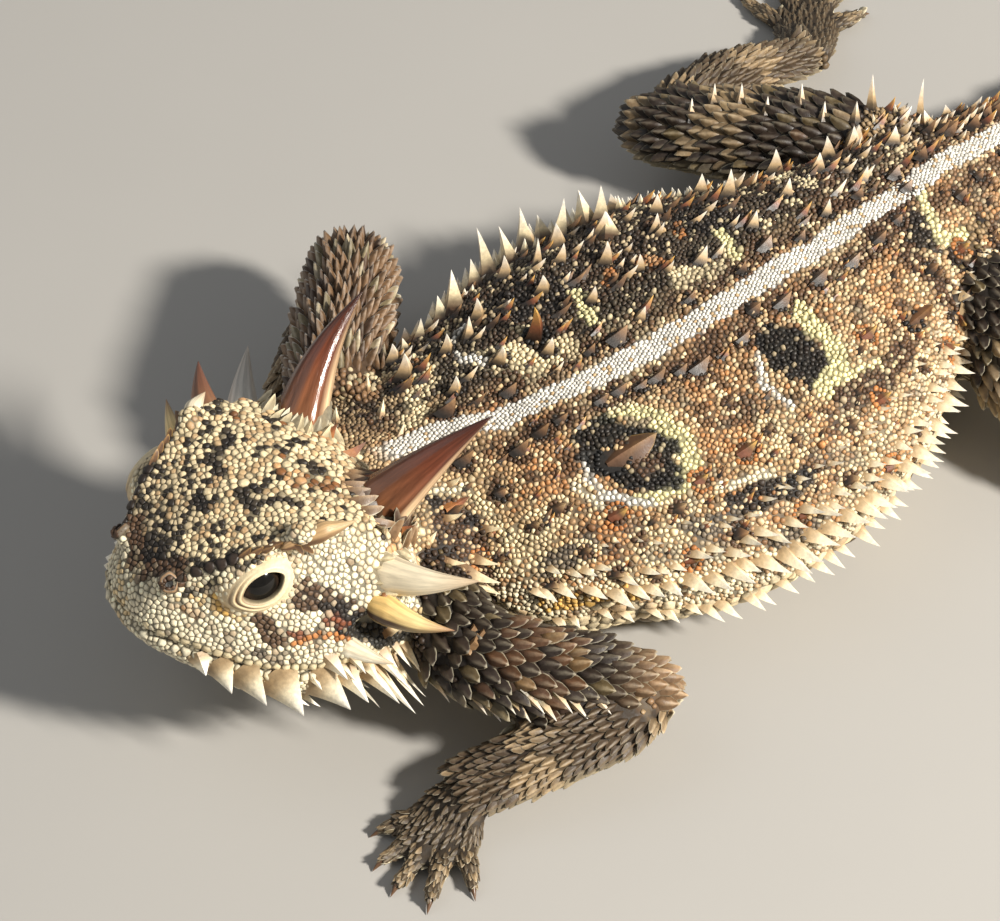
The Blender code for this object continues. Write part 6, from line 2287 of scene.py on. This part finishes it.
class LIZARD_OT_spines(bpy.types.Operator):
    """Grows the fringe, the back's raised spines, the shields of the jaw and the small spines"""

    bl_idname = "lizard.spines"
    bl_label = "Spines"

    def execute(self, context):
        skin = Lizard.skin
        finish = tinted_finish("spine_horn", 0.46, 0.22, 3400.0, 0.00002)
        chance = chance_for(2)
        coats = {name: Coat() for name in ("back_spines", "fringe", "jaw_shields", "small_spines")}
        back, fringe, jaw, small = coats.values()
        Lizard.back_spines = chosen_back_spines(skin, Lizard.markings, chance)
        grow_back_spines(back, skin, Lizard.back_spines, chance)
        grow_seen_spines(jaw, skin, JAW_SPINES, 0.15, True, "head")
        grow_seen_spines(small, skin, ARM_SPINES, 0.15, False, "upper_arm_left", "thigh_right", "body")
        grow_seen_spines(fringe, skin, EDGE_SPINES, -0.25, False)
        grow_fringe(fringe, skin, context.scene.lizard_sizes.fringe_length / MM, chance)
        grow_throat_spines(jaw, skin, chance)
        lay_head_plates(jaw, skin, chance)
        grow_small_spines(small, skin, chance)
        grow_thorns(small, skin, Lizard.markings, chance)
        for name, coat in coats.items():
            piece = coat.piece(name)
            dress(piece, "horn_pale", finish)
            piece.data.set_sharp_from_angle(angle=SHARP_EDGE)
        return {"FINISHED"}


class LIZARD_OT_scales(bpy.types.Operator):
    """Fills the head, neck, back and belly with domed scales"""

    bl_idname = "lizard.scales"
    bl_label = "Head and body scales"

    def execute(self, context):
        skin, chance = Lizard.skin, chance_for(3)
        sizes = context.scene.lizard_sizes
        scales = Scales(skin, Lizard.markings, sizes)
        set_stripe_scales(scales, chance)
        set_lip_scales(scales)
        clear_horn_feet(scales)
        for root, _, width, kind in Lizard.back_spines:
            place, normals, _, _ = skin.settle([root])
            set_rosette(scales, place[0], normals[0], width, kind, chance)
        for side in (1, -1):
            scales.keep_bare(head_spot(NOSTRIL_AT, side) + nostril_way(side) * 0.6, 0.85)
        scales.scatter(chance)
        coats = {name: Coat() for name in DOME_COATS}
        scales.build(domed_coats(scales, coats), chance)
        finish = tinted_finish("granule", 0.54, 0.26, 3600.0, 0.00003)
        for name, coat in coats.items():
            slot = "skin_head" if name.startswith(("head", "crown")) else "skin_back"
            dress(coat.piece(name), slot, finish)
        return {"FINISHED"}


class LIZARD_OT_horns(bpy.types.Operator):
    """Makes the horns of the head"""

    bl_idname = "lizard.horns"
    bl_label = "Horns"

    def execute(self, context):
        dark = tinted_finish("horn_dark", 0.22, 0.32, 5.0, 0.00004, streaked=True)
        pale = tinted_finish("horn_pale", 0.42, 0.20, 5.0, 0.00004, streaked=True)
        for name, (_, _, _, _, finish_name) in HORNS.items():
            slot, finish = ("horn", dark) if finish_name == "mahogany" else ("horn_pale", pale)
            dress(make_horn(name, finish_name), slot, finish, name)
        return {"FINISHED"}


class LIZARD_OT_eyes(bpy.types.Operator):
    """Makes the eyes, their lids and the nostrils"""

    bl_idname = "lizard.eyes"
    bl_label = "Eyes, lids and nostrils"

    def execute(self, context):
        gloss = eye_finish()
        dress(make_eye(1, "eyeball_left"), "eye", gloss, "eye_left")
        dress(make_eye(-1, "eyeball_right"), "eye", gloss, "eye_right")
        lid = tinted_finish("lid_skin", 0.50, 0.14, 4200.0, 0.00004)
        dress(make_lids(Lizard.skin), "skin_head", lid)
        for side in (1, -1):
            dress(make_nostril(Lizard.skin, side), "skin_head", lid)
        return {"FINISHED"}


class LIZARD_OT_claws(bpy.types.Operator):
    """Makes the claws"""

    bl_idname = "lizard.claws"
    bl_label = "Claws"

    def execute(self, context):
        dress(make_claws(), "horn", tinted_finish("claw_horn", 0.35, 0.2, 3000.0, 0.00002))
        return {"FINISHED"}


def area_light(name, offset, aim, size, power, colour):
    """A round light, offset from the point that it faces."""
    light = bpy.data.lights.new(name, "AREA")
    light.shape = "DISK"
    light.size = size
    light.energy = power
    light.color = colour
    lamp = link(name, light)
    lamp.location = aim + Vector(offset)
    lamp.rotation_euler = (-Vector(offset)).to_track_quat("-Z", "Y").to_euler()


def plain_finish(name, colour):
    """A matt, nearly even finish for the floor."""
    made, tree, shader = new_finish(name)
    shader.inputs["Roughness"].default_value = 0.85
    where = tree.nodes.new("ShaderNodeTexCoord")
    noise = node_at(tree, "ShaderNodeTexNoise", Scale=60.0, Detail=3.0)
    wire(where, "Object", noise, "Vector")
    ramp = tree.nodes.new("ShaderNodeValToRGB")
    ramp.color_ramp.elements[0].color = (*(c * 0.96 for c in colour), 1)
    ramp.color_ramp.elements[1].color = (*colour, 1)
    wire(noise, "Fac", ramp, "Fac")
    wire(ramp, "Color", shader, "Base Color")
    return made


class LIZARD_OT_stage(bpy.types.Operator):
    """Sets the floor, the lights and the camera"""

    bl_idname = "lizard.stage"
    bl_label = "Stage"

    def execute(self, context):
        look = context.scene.lizard_look
        deselect()
        bpy.ops.mesh.primitive_plane_add(size=3.0, location=(0, 0, 0))
        floor = context.view_layer.objects.active
        floor.name = "floor"
        floor.data.materials.append(plain_finish("floor_paper", tuple(look.floor_colour)))
        middle = Vector(to_frame(np.array([(0.0, -8.0, 8.0)]))[0])
        area_light("key", (0.37, 0.17, 0.31), middle, 0.07, look.key_power, (1.0, 0.95, 0.87))
        area_light("fill", (-0.35, -0.30, 0.50), middle, 0.60, look.fill_power, (0.90, 0.95, 1.0))
        world = bpy.data.worlds.new("room")
        world.use_nodes = True
        sky = world.node_tree.nodes["Background"]
        sky.inputs["Color"].default_value = (0.95, 0.97, 1.0, 1.0)
        sky.inputs["Strength"].default_value = look.sky
        context.scene.world = world
        context.scene.view_settings.view_transform = "Standard"
        lens = bpy.data.cameras.new("camera")
        lens.sensor_width = SENSOR
        lens.lens = CAMERA.focal * SENSOR / PHOTO_SIZE[0]
        lens.clip_start = 0.01
        camera = link("camera", lens)
        turn = Matrix(np.column_stack((CAMERA.side, CAMERA.up, -CAMERA.look)).tolist()).to_4x4()
        camera.matrix_world = Matrix.Translation(Vector((CAMERA.place + SHIFT) * MM)) @ turn
        context.scene.camera = camera
        return {"FINISHED"}


OPERATORS = (
    LIZARD_OT_skin, LIZARD_OT_limb_scales, LIZARD_OT_spines, LIZARD_OT_scales,
    LIZARD_OT_horns, LIZARD_OT_eyes, LIZARD_OT_claws, LIZARD_OT_stage,
)


class LIZARD_PT_panel(bpy.types.Panel):
    """Lists the sizes, the colours and each step of the dressing"""

    bl_label = "Horned lizard"
    bl_idname = "LIZARD_PT_panel"
    bl_space_type = "VIEW_3D"
    bl_region_type = "UI"
    bl_category = "Lizard"

    def draw(self, context):
        for group in (context.scene.lizard_sizes, context.scene.lizard_look):
            for name in group.__annotations__:
                self.layout.prop(group, name)
        for operator in OPERATORS:
            self.layout.operator(operator.bl_idname)


CLASSES = (LizardSizes, LizardLook, *OPERATORS, LIZARD_PT_panel)


def register():
    for each in CLASSES:
        bpy.utils.register_class(each)
    bpy.types.Scene.lizard_sizes = PointerProperty(type=LizardSizes)
    bpy.types.Scene.lizard_look = PointerProperty(type=LizardLook)


def unregister():
    del bpy.types.Scene.lizard_look
    del bpy.types.Scene.lizard_sizes
    for each in reversed(CLASSES):
        bpy.utils.unregister_class(each)


def main():
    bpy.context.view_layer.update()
    register()
    bpy.ops.lizard.skin()
    bpy.ops.lizard.limb_scales()
    bpy.ops.lizard.spines()
    bpy.ops.lizard.scales()
    bpy.ops.lizard.horns()
    bpy.ops.lizard.eyes()
    bpy.ops.lizard.claws()
    bpy.ops.lizard.stage()
    bpy.context.view_layer.update()


if __name__ == "__main__":
    main()
